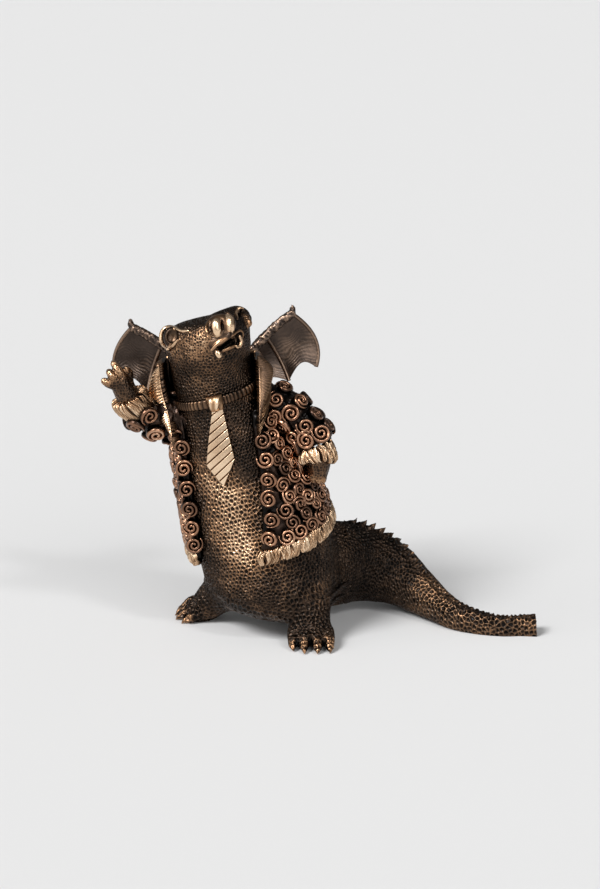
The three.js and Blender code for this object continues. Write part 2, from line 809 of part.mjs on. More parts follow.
function cuff(arm) {
  const sides = 24;
  const rings = [0, 0.25, 0.75, 1].map((part) => {
    const t = lerp(sleeveEnd + armSeam, cuffEnd, part);
    const { at, across, front } = arm.frame(t);
    const reach = cuffRadius * (part > 0 && part < 1 ? 1 : 0.86);
    return Array.from({ length: sides }, (_, side) => {
      const angle = side * 2 * Math.PI / sides;
      const radius = reach - 0.4 * (side % 2);
      return at.clone()
        .addScaledVector(across, radius * Math.cos(angle))
        .addScaledVector(front, radius * Math.sin(angle));
    });
  });
  return cut(loft(rings), [coatSeat]);
}

function finger(root, tip, bend) {
  const middle = root.clone().lerp(tip, 0.5).add(bend);
  const limb = new Limb([
    { at: root.toArray(), half: [1.15, 1.15] },
    { at: middle.toArray(), half: [1.25, 1.25] },
    { at: tip.toArray(), half: [0.95, 0.95] },
    { at: tip.clone().add(tip.clone().sub(middle).setLength(1.4)).toArray(), half: [0.3, 0.3] },
  ], [0.3, 1, 0.2]);
  return limb.body(0, 1, 4, 6);
}

// A paw ends its arm, with fingers fanned across it
function paw(arm, fingers) {
  const palm = arm.body(cuffEnd + armSeam, 1, 3, 10);
  const { at, along, across, front } = arm.frame(0.97);
  const spot = ([forward, side, out]) => at.clone()
    .addScaledVector(along, forward)
    .addScaledVector(across, side)
    .addScaledVector(front, out);
  const parts = fingers.map(([root, tip, bend]) => {
    const bent = spot(bend).sub(at);
    return finger(spot(root), spot(tip), bent);
  });
  return cut(joined([palm, ...parts]), [coatSeat]);
}

const rightPaw = () => paw(rightArm, [
  [[-1, -1.4, 1.5], [1.6, -2.6, 3], [0.9, -0.6, 0.6]],
  [[-0.6, -1.6, 0], [3.2, -2.2, 1.2], [0.9, -0.9, 0]],
  [[-0.4, -1, -1.4], [4.4, -0.8, -0.8], [0.6, -0.6, -0.4]],
  [[-2, 0.6, -2], [1.8, -0.4, -3], [0.4, 0.4, -0.6]],
]);
const leftPaw = () => paw(leftArm, [
  [[-1, -1, 1.4], [1.6, -1.8, 2], [0.3, -0.5, 0.5]],
  [[-1, -1, 0], [2, -2.2, 0.2], [0.3, -0.6, 0]],
  [[-1, -1, -1.4], [1.6, -1.8, -1.8], [0.3, -0.5, -0.4]],
]);

// Wings

const wingRoot = trunk.frame(trunk.atHeight(wingHeight));
const wingTilt = 5; // degrees that the shoulders lean with the body

// Points of a wing, by distance outwards along the shoulders, upwards and backwards
function onWing(side, outwards, up, back) {
  const tilt = radians(wingTilt);
  const shoulders = new THREE.Vector3(Math.cos(tilt), 0, Math.sin(tilt));
  const rise = new THREE.Vector3(-Math.sin(tilt), 0, Math.cos(tilt));
  return wingRoot.at.clone()
    .addScaledVector(shoulders, side * outwards)
    .addScaledVector(rise, up)
    .add(new THREE.Vector3(0, 11.4 + back, 0));
}

function wing(side) {
  // The upper edge rises to the wing's point, and the lower edge has two hollows
  const upper = (s) => [lerp(7, wingSpan, s), lerp(3, wingRise, s) + Math.sin(Math.PI * s)];
  const ribAt = 0.6;
  const lower = (s) => {
    const hollow = s < ribAt ? s / ribAt : (s - ribAt) / (1 - ribAt);
    const sag = (s < ribAt ? 2.2 : 3.2) * Math.sin(Math.PI * hollow);
    const line = s < ribAt ? lerp(-4, -3, s / ribAt) : lerp(-3, 0, (s - ribAt) / (1 - ribAt));
    return [lerp(8, wingSpan * 1.25, s), line + sag];
  };
  const place = (s, u, thick) => {
    const [x0, z0] = upper(s);
    const [x1, z1] = lower(s);
    const bow = 3 * 4 * u * (1 - u) * s ** 4;
    const cup = 1.6 * Math.sin(Math.PI * u) + 3 * s;
    return onWing(side, lerp(x0, x1, u) + bow, lerp(z0, z1, u), cup + thick);
  };
  const skin = plate(
    (s, u) => place(s, u, -wingThickness / 2),
    (s, u) => place(s, u, wingThickness / 2),
    8,
    4,
  );
  const edgeTube = (points, radii, sides) => new Limb(
    points.map((point, index) => ({ at: point.toArray(), half: [radii[index], radii[index]] })),
    [0, 1, 0.2],
  ).body(0, 1, 7, sides);
  const spread = (from, to, count, fn) => Array.from(
    { length: count },
    (_, index) => fn(lerp(from, to, index / (count - 1))),
  );
  const arm = edgeTube(
    [...spread(0, 1, 4, (s) => place(s, 0, 0)), onWing(side, wingSpan + 0.5, wingRise + 2.2, 3.2)],
    [wingArmRadius, wingArmRadius, wingArmRadius, wingArmRadius * 0.9, 0.25],
    6,
  );
  const rim = edgeTube(spread(0, 1, 5, (u) => place(1, u, 0)), Array(5).fill(wingRibRadius), 5);
  const rib = edgeTube(
    spread(0, 1, 4, (u) => place(lerp(0.5, ribAt, u), lerp(0.05, 1, u), -0.3)),
    Array(4).fill(wingRibRadius),
    5,
  );
  return cut(joined([skin, arm, rim, rib]), [coatSeat, collarRoom(), neckSeat]);
}

// The figurine

const figurine = new THREE.Group();

function add(name, solid, finish) {
  const material = new THREE.MeshStandardMaterial(finish);
  const mesh = new THREE.Mesh(asGeometry(solid), material);
  mesh.name = name;
  figurine.add(mesh);
}

add('trunk', trunkBody(), patina);
add('head', headBody(), patina);
add('tail', tailBody(), patina);
add('right_leg', rightFoot(), patina);
add('left_leg', leftFoot(), patina);
add('neckband', neckband(), rubbed);
add('tie_knot', tieKnot(), rubbed);
add('tie_blade', tieBlade(), rubbed);
add('coat_back', coatBack(), fleece);
add('coat_left_front', coatLeftFront(), fleece);
add('coat_right_front', coatRightFront(), fleece);
add('hem_back', hemBack(), rubbed);
add('hem_left', hemLeft(), rubbed);
add('hem_right', hemRight(), rubbed);
add('collar_back', collarBack(), rubbed);
add('lapel_left', collarLeft(), rubbed);
add('lapel_right', collarRight(), rubbed);
add('right_sleeve', sleeve(rightArm, 2), fleece);
add('left_sleeve', sleeve(leftArm, 3), fleece);
add('right_cuff', cuff(rightArm), rubbed);
add('left_cuff', cuff(leftArm), rubbed);
add('right_paw', rightPaw(), patina);
add('left_paw', leftPaw(), patina);
add('right_wing', wing(-1), patina);
add('left_wing', wing(1), patina);
add('neck_pin', headPin.pin, brass);
add('tail_pin', tailPin.pin, brass);
add('right_leg_pin', rightLegPin.pin, brass);
add('left_leg_pin', leftLegPin.pin, brass);

// The origin is under the middle of the figurine
const extent = new THREE.Box3().setFromObject(figurine);
const middle = extent.getCenter(new THREE.Vector3());
figurine.position.set(-middle.x, -middle.y, -extent.min.z);

export default figurine;
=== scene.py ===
# The looks of a cast bronze dragon figurine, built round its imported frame.
# Sizes are in millimetres until a mesh is made, and in the frame of the source until it is placed.
# +X is the dragon's left, -Y the side that its chest looks to, and angles round the trunk start
# at +X and are -90 degrees straight to the front.

import itertools
import math

import bpy
import numpy as np
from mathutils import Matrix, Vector


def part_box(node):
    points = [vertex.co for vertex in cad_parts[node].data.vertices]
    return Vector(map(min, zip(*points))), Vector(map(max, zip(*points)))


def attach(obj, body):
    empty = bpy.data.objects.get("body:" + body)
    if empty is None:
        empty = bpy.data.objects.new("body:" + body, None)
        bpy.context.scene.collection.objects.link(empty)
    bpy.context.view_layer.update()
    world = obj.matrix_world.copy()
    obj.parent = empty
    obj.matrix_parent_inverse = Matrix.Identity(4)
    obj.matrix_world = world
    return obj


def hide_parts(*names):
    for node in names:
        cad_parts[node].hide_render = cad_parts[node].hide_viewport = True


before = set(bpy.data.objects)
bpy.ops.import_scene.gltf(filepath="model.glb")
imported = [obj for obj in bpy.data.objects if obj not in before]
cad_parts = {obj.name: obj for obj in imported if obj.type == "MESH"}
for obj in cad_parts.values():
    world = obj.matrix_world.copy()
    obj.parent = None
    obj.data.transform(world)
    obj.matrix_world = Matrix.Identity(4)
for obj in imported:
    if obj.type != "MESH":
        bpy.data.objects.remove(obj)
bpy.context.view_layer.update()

MM = 0.001
FINE = 0.2  # grid step of the sculpted skin
FACE = 0.15  # grid step of the head and the paws
ROUGHLY = 4  # the coarse grid's step, in fine steps
SLACK = 0.6  # how far off a coarse distance may be
FAR = 4.0  # how far away a small form is still worked out

# Sizes that the source gives too. Sides are in degrees, and where a sleeve, a cuff and the crest
# start or end is a share of the limb.
NECK_JOINT = 69
SKIN_GAP = 0.6
COAT_THICKNESS = 1.7
COAT_LIFT = SKIN_GAP + COAT_THICKNESS
HEM_FRONT = 25.2
HEM_BACK_RISE = 4
HEM_HEIGHT = 3.4
HEM_THICKNESS = 2.6
COLLAR_TOP = 78.5
COLLAR_BOTTOM = 66
COLLAR_CLEARANCE = 1.6
COLLAR_THICKNESS = 2.3
LAPEL_TIP = 57
SIDE_LEFT = 15
SIDE_RIGHT = 165
BAND_HEIGHT = 2.4
BAND_THICKNESS = 0.9
TIE_LENGTH = 19.4
TIE_POINT = 6.2
TIE_TOP = 3.1
TIE_WIDTH = 7.2
TIE_DRIFT = -3.2
WING_HEIGHT = 70
WING_SPAN = 22
WING_RISE = 15.7
CUFF_RADIUS = 5.1
SLEEVE_END = 0.58
CUFF_END = 0.74
LAPEL_BACK = 20  # where the lapels end and the back of the collar starts
WING_TILT = 5
CREST_START, CREST_END, CREST_TEETH = 0.12, 0.42, 12
HEAD_CENTRE = (-31.1, 1.5, 84.8)
HEAD_PITCH, HEAD_ROLL, HEAD_TURN = 18, 18.5, 13

# Finer sizes, which only the looks have
PIT_PITCH, PIT_DEPTH = 1.28, 0.48
CHEST_PITCH, CHEST_DEPTH = 1.02, 0.36
NECK_PITCH, NECK_DEPTH = 0.94, 0.3
CROWN_PITCH, CROWN_DEPTH = 0.8, 0.2
CHEEK_PITCH, CHEEK_DEPTH = 0.78, 0.24
PAW_PITCH, PAW_DEPTH = 0.8, 0.15
TOOTH_HEIGHT, TOOTH_HALF = 2.5, 1.7
SCUTE_HEIGHT, SCUTE_HALF, SCUTE_SIDE = 0.75, 1.1, 1.3
SCUTE_START, SCUTE_PITCH = 0.4, 0.026  # shares of the tail
CURL_PITCH = 4.1
SLEEVE_PITCH = 4.5
EDGE_PITCH = 5.3
CURL_RADIUS, EDGE_RADIUS = 0.7, 0.56  # of the pitch
CURL_WIRE = 0.175  # of the curl's radius
CURL_RISE = 1.7  # how much taller than wide the wire is
RIBS = 64  # round the neckband
STRIPE = 2.15  # from one groove of the tie to the next
KNOT_HEIGHT, KNOT_WIDTH = 4.1, 4
TIE_HANG = 2.145  # how far below the neck joint the blade starts
WING_RIB = 0.6  # where along the wing's edge its rib ends
WING_BACK = 11.4  # how far behind the trunk's middle the wings stand
MEMBRANE_HALF, RIB_RADIUS = 0.45, 0.6
STROKES = 28  # of the comb across a lapel's fold
FLOOR_GREY = 0.72

# The photograph's view of the figurine, by which the camera stands and the face is laid out
PIXELS = 3.63  # to a millimetre, at the target
PICTURE = (600, 889)
ELEVATION = 15
TARGET = (-6.36, 0, 52.6)
LENS, SENSOR = 100, 36
DISTANCE = PICTURE[1] / PIXELS * LENS / SENSOR

# Limbs: centre of each section, its two half widths, and how square it is
TRUNK = [
    (-15, 4.5, 4.8, 8, 7, 2),
    (-14.4, 4.7, 7.4, 14, 13.3, 2),
    (-13.6, 5, 13, 17.2, 16.4, 2),
    (-15.1, 4.9, 21, 18.2, 16.8, 2),
    (-18.2, 4.3, 33, 17.8, 15.2, 2),
    (-21.6, 3.6, 44, 16.2, 13.8, 2),
    (-25, 3.1, 55, 14.2, 12.6, 2),
    (-27.9, 2.6, 66, 11.3, 10.7, 2),
    (-29.9, 2.3, 74, 10.9, 10.4, 2),
    (-30.6, 2, 82, 10.6, 10, 2),
    (-31, 1.8, 88, 9.5, 8, 2),
]
TAIL = [
    (-9, 11, 14.5, 11, 11.5, 2),
    (3, 20, 14.3, 12.2, 10.6, 2),
    (12, 23.5, 12.8, 10.6, 9, 2),
    (20, 22.8, 10.4, 9, 7.9, 2),
    (26.5, 18.5, 7.3, 6.6, 6.3, 2),
    (32.5, 11.5, 4.9, 4.5, 4.7, 2.2),
    (38, 5.5, 3.3, 3.5, 3.7, 2.4),
    (44, 1.9, 2.6, 2.9, 3, 2.6),
    (50, 0.4, 2.2, 2.5, 2.7, 3),
    (55, 0.6, 2.2, 2.5, 2.6, 3.4),
    (59.4, 0.4, 2.5, 2.8, 2.8, 4),
]
RIGHT_LEG = [
    (-24, 8.5, 13, 7, 7, 2),
    (-29.5, 11.5, 7.4, 5.4, 5.6, 2),
    (-33, 14, 3.2, 4.2, 5.4, 2),
    (-35.8, 14.3, 1.7, 3.1, 5, 2),
]
LEFT_LEG = [
    (-6, 0, 13, 7, 7, 2),
    (-3.6, -5, 7.4, 5.6, 5.7, 2),
    (-2.9, -8.6, 3.3, 4, 5.6, 2),
    (-2.8, -11.4, 1.7, 3.1, 5.2, 2),
]
RIGHT_ARM = [
    (-37, 3, 61.4, 5.8, 6.2, 2),
    (-42.5, 0.8, 62, 5, 5.8, 2),
    (-47.6, -1.6, 63.6, 4.5, 4.7, 2),
    (-50.6, -3.6, 66.6, 4, 3.9, 2),
    (-52.8, -4.7, 70.4, 3.6, 3.2, 2),
    (-54.8, -5, 74.6, 3.2, 2.8, 2),
]
LEFT_ARM = [
    (-17, 2.4, 66, 6.2, 6, 2),
    (-9.6, 1, 63.8, 5.6, 5.5, 2),
    (-4.8, -0.4, 59.6, 5, 5, 2),
    (-2, -1.8, 55.4, 4.8, 4.8, 2),
    (-1.2, -3, 50.4, 4, 3.6, 2),
    (-1.2, -4.2, 46.4, 2.8, 2.4, 2),
]


# Numbers

def lerp(a, b, t):
    return a + (b - a) * t


def smoothstep(x, low, high):
    t = np.clip((np.asarray(x, float) - low) / (high - low), 0, 1)
    return t * t * (3 - 2 * t)


def unit(v):
    return v / np.maximum(np.linalg.norm(v, axis=-1, keepdims=True), 1e-9)


def signed_power(value, power):
    return np.sign(value) * np.abs(value) ** power


def bump_at(x, centre, width):
    return np.exp(-(((x - centre) / width) ** 2))


# Three random numbers for each cell of a lattice
def scatter(cells, seed):
    cells = cells.astype(np.int64)
    key = cells[..., 0] * 73856093 ^ cells[..., 1] * 19349663 ^ cells[..., 2] * 83492791
    key = key ^ seed * 2654435761
    out = []
    for turn in (0x9E3779B1, 0x85EBCA6B, 0xC2B2AE35):
        mixed = (key * turn) & 0xFFFFFFFF
        mixed = ((mixed ^ (mixed >> 15)) * 0x2C1B3C6D) & 0xFFFFFFFF
        mixed = ((mixed ^ (mixed >> 12)) * 0x297A2D39) & 0xFFFFFFFF
        out.append(((mixed ^ (mixed >> 15)) & 0xFFFFFF) / 0xFFFFFF)
    return np.stack(out, -1)


# Smooth noise from -1 to 1 with features of a given size
def noise(points, size, seed):
    place = points.reshape(-1, 3) / size
    base = np.floor(place)
    part = place - base
    part = part * part * (3 - 2 * part)
    total = np.zeros(len(place))
    for corner in itertools.product((0, 1), repeat=3):
        weight = np.prod([part[:, i] if corner[i] else 1 - part[:, i] for i in range(3)], axis=0)
        total += weight * scatter(base + corner, seed)[:, 0]
    return (total * 2 - 1).reshape(points.shape[:-1])


# Distances to the nearest and the second nearest of points scattered at a given pitch
def cells_at(points, pitch, seed, spread):
    place = points / pitch
    base = np.floor(place)
    near = np.full(len(points), 9.0)
    second = np.full(len(points), 9.0)
    for shift in itertools.product((-1, 0, 1), repeat=3):
        cell = base + shift
        spot = cell + 0.5 + (scatter(cell, seed) - 0.5) * spread
        gap = np.linalg.norm(place - spot, axis=1)
        second = np.minimum(second, np.maximum(near, gap))
        near = np.minimum(near, gap)
    return near, second


class Limb:
    """A smooth path through stations, with an oval section that follows it.

    Each row of its table holds the centre, the two half widths and the squareness, then the
    directions along, across and in front of the path, and last the speed along it.
    """

    def __init__(self, stations, sideways):
        samples = 1200
        rows = np.array(stations, float)
        ends = np.vstack([2 * rows[0] - rows[1], rows, 2 * rows[-1] - rows[-2]])
        self.steps = np.linspace(0, 1, samples)
        spot = self.steps * (len(rows) - 1)
        index = np.minimum(spot.astype(int), len(rows) - 2)
        w = (spot - index)[:, None]
        a, b, c, d = (ends[index + i] for i in range(4))
        start = (c - a) / 2
        end = (d - b) / 2
        bend = 3 * (c - b) - 2 * start - end
        swing = 2 * (b - c) + start + end
        values = b + start * w + bend * w**2 + swing * w**3
        velocity = np.gradient(values[:, :3], self.steps, axis=0)
        along = unit(velocity)
        sideways = np.array(sideways, float)
        across = unit(sideways - along * (along @ sideways)[:, None])
        front = np.cross(along, across)
        speed = np.linalg.norm(velocity, axis=1, keepdims=True)
        self.table = np.hstack([values, along, across, front, speed])
        self.run = np.concatenate([[0], np.cumsum(speed[1:, 0])]) / samples

    def look(self, t):
        spot = np.clip(np.asarray(t, float), 0, 1) * (len(self.table) - 1)
        index = np.minimum(spot.astype(int), len(self.table) - 2)
        w = (spot - index)[..., None]
        return self.table[index] * (1 - w) + self.table[index + 1] * w

    def centre(self, t):
        return self.look(t)[..., :3]

    def frame(self, t):
        row = self.look(t)
        return row[..., :6], row[..., 6:9], row[..., 9:12], row[..., 12:15]

    # A point of the skin, or over it by lift
    def point(self, t, degrees, lift=None):
        values, _, across, front = self.frame(t)
        angle = np.radians(degrees)
        power = 2 / values[..., 5]
        aside = values[..., 3] * signed_power(np.cos(angle), power)
        ahead = values[..., 4] * signed_power(np.sin(angle), power)
        skin = values[..., :3] + across * aside[..., None] + front * ahead[..., None]
        if lift is None:
            return skin
        return skin + self.outward(t, degrees) * np.asarray(lift, float)[..., None]

    def outward(self, t, degrees):
        t = np.asarray(t, float)
        after = self.point(np.clip(t + 0.004, 0, 1), degrees)
        along = after - self.point(np.clip(t - 0.004, 0, 1), degrees)
        turned = self.point(t, degrees + 1) - self.point(t, degrees - 1)
        return unit(np.cross(turned, along))

    # The place along the path whose centre has the given height
    def at_height(self, height):
        return np.interp(height, self.table[:, 2], self.steps)

    # Where along the limb each point lies
    def locate(self, points):
        steps = np.linspace(0, 1, 40)
        centres = self.centre(steps)
        away = (centres**2).sum(1)[None] - 2 * points @ centres.T
        t = steps[away.argmin(1)]
        for _ in range(3):
            row = self.look(t)
            t = np.clip(t + ((points - row[:, :3]) * row[:, 6:9]).sum(1) / row[:, 15], 0, 1)
        return t

    # That place with its row of the table, and how far each point is from it along, across and in front
    def local(self, points):
        t = self.locate(points)
        row = self.look(t)
        offset = points - row[:, :3]
        return t, row, *((offset * row[:, i:i + 3]).sum(1) for i in (6, 9, 12))

    # Millimetres along the limb and round it from the side that an angle names, and whether the
    # point lies past an end
    def unrolled(self, points, facing):
        t, row, _, x, y = self.local(points)
        turned = np.radians((np.degrees(np.arctan2(y, x)) - facing + 180) % 360 - 180)
        ended = (t <= 0) | (t >= 1)
        return np.interp(t, self.steps, self.run), turned * (row[:, 3] + row[:, 4]) / 2, ended

    # About how far each point is from the skin, less than 0 inside
    def distance(self, points):
        t, row, past, x, y = self.local(points)
        half = np.maximum(row[:, 3:5], 0.05)
        power = row[:, 5]
        rho = (np.abs(x / half[:, 0]) ** power + np.abs(y / half[:, 1]) ** power) ** (1 / power)
        flat = np.sqrt(x * x + y * y)
        radial = np.where(rho > 0.05, flat * (1 - 1 / np.maximum(rho, 0.05)), -half.min(1))
        past = np.where((t <= 0) | (t >= 1), np.abs(past), 0)
        beyond = np.sqrt(np.maximum(radial, 0) ** 2 + past**2)
        return np.where(past > 1e-4, beyond, radial)


trunk = Limb(TRUNK, (1, 0, 0))
tail = Limb(TAIL, (0, 0, 1))
right_leg = Limb(RIGHT_LEG, (0, 0, 1))
left_leg = Limb(LEFT_LEG, (0, 0, 1))
right_arm = Limb(RIGHT_ARM, (0, 1, 0))
left_arm = Limb(LEFT_ARM, (0, 1, 0))

# The pin in the neck shows how far the source moved everything to centre its origin
pin_low, pin_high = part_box("neck_pin")
pin_middle = np.array([(a + b) / 2 / MM for a, b in zip(pin_low, pin_high)])
SHIFT = pin_middle - trunk.centre(trunk.at_height(NECK_JOINT))


def around(height, degrees, lift=None):
    return trunk.point(trunk.at_height(height), degrees, lift)


# Solids as distances: negative inside

# The union of two solids with a fillet about as wide as k, and the cut that leaves one
def blend(a, b, k):
    h = np.maximum(k - np.abs(a - b), 0) / k
    return np.minimum(a, b) - h * h * k / 4


def carve(a, b, k):
    return -blend(-a, b, k)


# Axes that are turned round Y, then round X, then round Z, by degrees
def axes_of(turn):
    x, y, z = np.radians(turn)
    rx = np.array([[1, 0, 0], [0, math.cos(x), -math.sin(x)], [0, math.sin(x), math.cos(x)]])
    ry = np.array([[math.cos(y), 0, math.sin(y)], [0, 1, 0], [-math.sin(y), 0, math.cos(y)]])
    rz = np.array([[math.cos(z), -math.sin(z), 0], [math.sin(z), math.cos(z), 0], [0, 0, 1]])
    return rz @ rx @ ry


def ball(points, centre, radii, axes=np.eye(3)):
    radii = np.asarray(radii, float)
    out = np.full(len(points), FAR)
    offset = points - np.asarray(centre, float)
    near = (np.abs(offset) < radii.max() + FAR).all(1)
    q = offset[near] @ axes
    a = np.linalg.norm(q / radii, axis=1)
    b = np.linalg.norm(q / radii**2, axis=1)
    out[near] = a * (a - 1) / np.maximum(b, 1e-6)
    return out


# A round wire through points, with a radius at each
def wire(points, path, radii):
    steps = 5
    path = np.array(path, float)
    radii = np.broadcast_to(np.asarray(radii, float), len(path))
    stations = [(*p, r, r, 2) for p, r in zip(path, radii)]
    count = (len(path) - 1) * steps + 1
    line = Limb(stations, (0.1, 0.2, 1)).look(np.linspace(0, 1, count))
    reach = radii.max() + FAR
    near = ((points > line[:, :3].min(0) - reach) & (points < line[:, :3].max(0) + reach)).all(1)
    some = points[near]
    best = np.full(len(some), FAR)
    for a, b in zip(line[:-1], line[1:]):
        along = b[:3] - a[:3]
        part = np.clip(((some - a[:3]) @ along) / max(along @ along, 1e-9), 0, 1)
        gap = np.linalg.norm(some - a[:3] - part[:, None] * along, axis=1)
        best = np.minimum(best, gap - lerp(a[3], b[3], part))
    out = np.full(len(points), FAR)
    out[near] = best
    return out


# The mesh of a solid's surface on a grid: one vertex in each cell that the surface crosses
def surface(distance, low, high, step):
    low = np.asarray(low, float)
    size = np.ceil((np.asarray(high, float) - low) / (step * ROUGHLY)).astype(int)
    axes = [np.arange(n) for n in size]
    blocks = np.stack(np.meshgrid(*axes, indexing="ij"), -1).reshape(-1, 3)
    middle = low + (blocks + 0.5) * step * ROUGHLY
    rough = distance(middle)
    near = np.abs(rough) < step * ROUGHLY + SLACK
    shape = size * ROUGHLY
    field = rough.reshape(size).astype(np.float32)
    for axis in range(3):
        field = np.repeat(field, ROUGHLY, axis)
    inner = np.stack(np.meshgrid(*[np.arange(ROUGHLY)] * 3, indexing="ij"), -1).reshape(-1, 3)
    spots = (blocks[near][:, None] * ROUGHLY + inner[None]).reshape(-1, 3)
    field[tuple(spots.T)] = distance(low + spots * step)
    inside = field < 0
    count = np.zeros(shape - 1, np.int8)
    for corner in itertools.product((0, 1), repeat=3):
        count += inside[tuple(slice(c, n - 1 + c) for c, n in zip(corner, shape))]
    cells = np.argwhere((count > 0) & (count < 8))
    number = np.full(shape - 1, -1, np.int32)
    number[tuple(cells.T)] = np.arange(len(cells))
    total = np.zeros((len(cells), 3))
    hits = np.zeros(len(cells))
    for axis in range(3):
        for corner in itertools.product((0, 1), repeat=3):
            if corner[axis]:
                continue
            start = np.array(corner)
            end = start + (np.arange(3) == axis)
            a = field[tuple((cells + start).T)].astype(float)
            b = field[tuple((cells + end).T)].astype(float)
            crosses = (a < 0) != (b < 0)
            part = np.where(crosses, a / np.where(crosses, a - b, 1), 0)
            place = cells + start + part[:, None] * (end - start)
            total += np.where(crosses[:, None], place, 0)
            hits += crosses
    points = low + total / hits[:, None] * step
    faces = []
    for axis in range(3):
        others = [(axis + 1) % 3, (axis + 2) % 3]
        first = [slice(1, n - 1) for n in shape]
        second = list(first)
        first[axis] = slice(0, shape[axis] - 1)
        second[axis] = slice(1, shape[axis])
        a = inside[tuple(first)]
        b = inside[tuple(second)]
        edges = np.argwhere(a != b)
        entering = a[tuple(edges.T)]
        spot = edges + 1
        spot[:, axis] -= 1
        corners = []
        for one, two in ((-1, -1), (0, -1), (0, 0), (-1, 0)):
            cell = spot.copy()
            cell[:, others[0]] += one
            cell[:, others[1]] += two
            corners.append(number[tuple(cell.T)])
        quads = np.stack(corners, 1)
        quads[~entering] = quads[~entering][:, ::-1]
        faces.append(quads[(quads >= 0).all(1)])
    return points, np.vstack(faces)


# The normals of a mesh at its points
def normals_of(points, faces):
    corners = points[faces]
    normal = np.cross(corners[:, 2] - corners[:, 0], corners[:, 3] - corners[:, 1])
    total = np.zeros_like(points)
    for corner in range(4):
        for axis in range(3):
            total[:, axis] += np.bincount(faces[:, corner], normal[:, axis], len(points))
    return unit(total)


# How open a place on the surface is to light, from 0 in a crease to 1. Where it is low the marks stay
# dark: partly patina left in the hollows, partly painted shade in creases and between parts.
def open_to_light(distance, points, normals):
    closed = np.zeros(len(points))
    for reach, weight in ((0.8, 0.35), (2, 0.35), (4, 0.3)):
        closed += weight * np.clip(1 - distance(points + normals * reach) / reach, 0, 1)
    return 1 - closed


# A solid's surface with the normals of its points and how open they are to light, which paints shade into
# its creases
def sculpted(distance, low, high, step):
    points, faces = surface(distance, low, high, step)
    normals = normals_of(points, faces)
    return points, faces, normals, open_to_light(distance, points, normals)


# Meshes

# Two shares from 0 to 1 for each point of a sheet, the first by row and the second by column
def grid(rows, columns, closed=False):
    along = np.arange(columns) / columns if closed else np.linspace(0, 1, columns)
    return np.meshgrid(np.linspace(0, 1, rows), along, indexing="ij")


# The quads between rows of points, in which the last row or column may join the first
def sheet_faces(rows, columns, wrap_rows=False, wrap_columns=False):
    index = np.arange(rows * columns).reshape(rows, columns)
    if wrap_rows:
        index = np.vstack([index, index[:1]])
    if wrap_columns:
        index = np.hstack([index, index[:, :1]])
    return np.stack([index[:-1, :-1], index[:-1, 1:], index[1:, 1:], index[1:, :-1]], -1).reshape(-1, 4)


# The faces of a closed mesh, turned to look out
def outward(points, faces):
    a, b, c, d = (points[faces[:, corner]] - points.mean(0) for corner in range(4))
    volume = (np.cross(a, b) * c).sum() + (np.cross(a, c) * d).sum()
    return faces if volume > 0 else faces[:, ::-1]


class Pile:
    """Collects points, faces and marks on the way to one mesh."""

    def __init__(self):
        self.points, self.faces, self.wear_and_painted_light = [], [], []
        self.total = 0

    def add(self, points, faces, wear_and_painted_light):
        self.points.append(points)
        self.faces.append(faces + self.total)
        self.wear_and_painted_light.append(np.broadcast_to(np.asarray(wear_and_painted_light, float).reshape(-1), len(points)))
        self.total += len(points)

    def add_tube(self, points, wear_and_painted_light, closed=False):
        """Rings of points, one after the other, of which the last may join the first."""
        faces = sheet_faces(*points.shape[:2], wrap_rows=closed, wrap_columns=True)
        points = points.reshape(-1, 3)
        self.add(points, outward(points, faces), wear_and_painted_light)

    def add_slab(self, outer, inner, wear_and_painted_light, worn_inside=0):
        """A closed slab between two faces with the same rows and columns of points."""
        rows, columns = outer.shape[:2]
        index = np.arange(rows * columns).reshape(rows, columns)
        under = index + rows * columns
        front = sheet_faces(rows, columns)
        faces = [front, front[:, [0, 3, 2, 1]] + rows * columns]
        for a, b in ((index[0], under[0]), (index[-1][::-1], under[-1][::-1]),
                     (index[:, 0][::-1], under[:, 0][::-1]), (index[:, -1], under[:, -1])):
            faces.append(np.stack([a[:-1], b[:-1], b[1:], a[1:]], -1))
        points = np.concatenate([outer.reshape(-1, 3), inner.reshape(-1, 3)])
        marks = [np.broadcast_to(mark, (rows, columns)).reshape(-1) for mark in (wear_and_painted_light, worn_inside)]
        self.add(points, outward(points, np.vstack(faces)), np.concatenate(marks))


def make(name, pile, material, node):
    points = (np.vstack(pile.points) + SHIFT) * MM
    faces = np.vstack(pile.faces)
    mesh = bpy.data.meshes.new(name)
    mesh.vertices.add(len(points))
    mesh.vertices.foreach_set("co", points.astype(np.float32).ravel())
    mesh.loops.add(faces.size)
    mesh.loops.foreach_set("vertex_index", faces.astype(np.int32).ravel())
    mesh.polygons.add(len(faces))
    mesh.polygons.foreach_set("loop_start", np.arange(0, faces.size, 4, dtype=np.int32))
    mesh.polygons.foreach_set("use_smooth", np.ones(len(faces), bool))
    mesh.update(calc_edges=True)
    wear_and_painted_light = mesh.attributes.new("wear_and_painted_light", "FLOAT", "POINT")
    wear_and_painted_light.data.foreach_set("value", np.concatenate(pile.wear_and_painted_light).astype(np.float32))
    mesh.materials.append(material)
    mesh.validate()
    piece = bpy.data.objects.new(name, mesh)
    bpy.context.scene.collection.objects.link(piece)
    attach(piece, "root")
    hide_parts(node)


# A skin of only the faces that are given, with the points that they use
def make_skin(node, points, faces, wear_and_painted_light):
    used, mine = np.unique(faces, return_inverse=True)
    pile = Pile()
    pile.add(points[used], mine.reshape(-1, 4), np.clip(wear_and_painted_light[used], 0, 1))
    make(node + "_skin", pile, SKIN, node)


# Materials

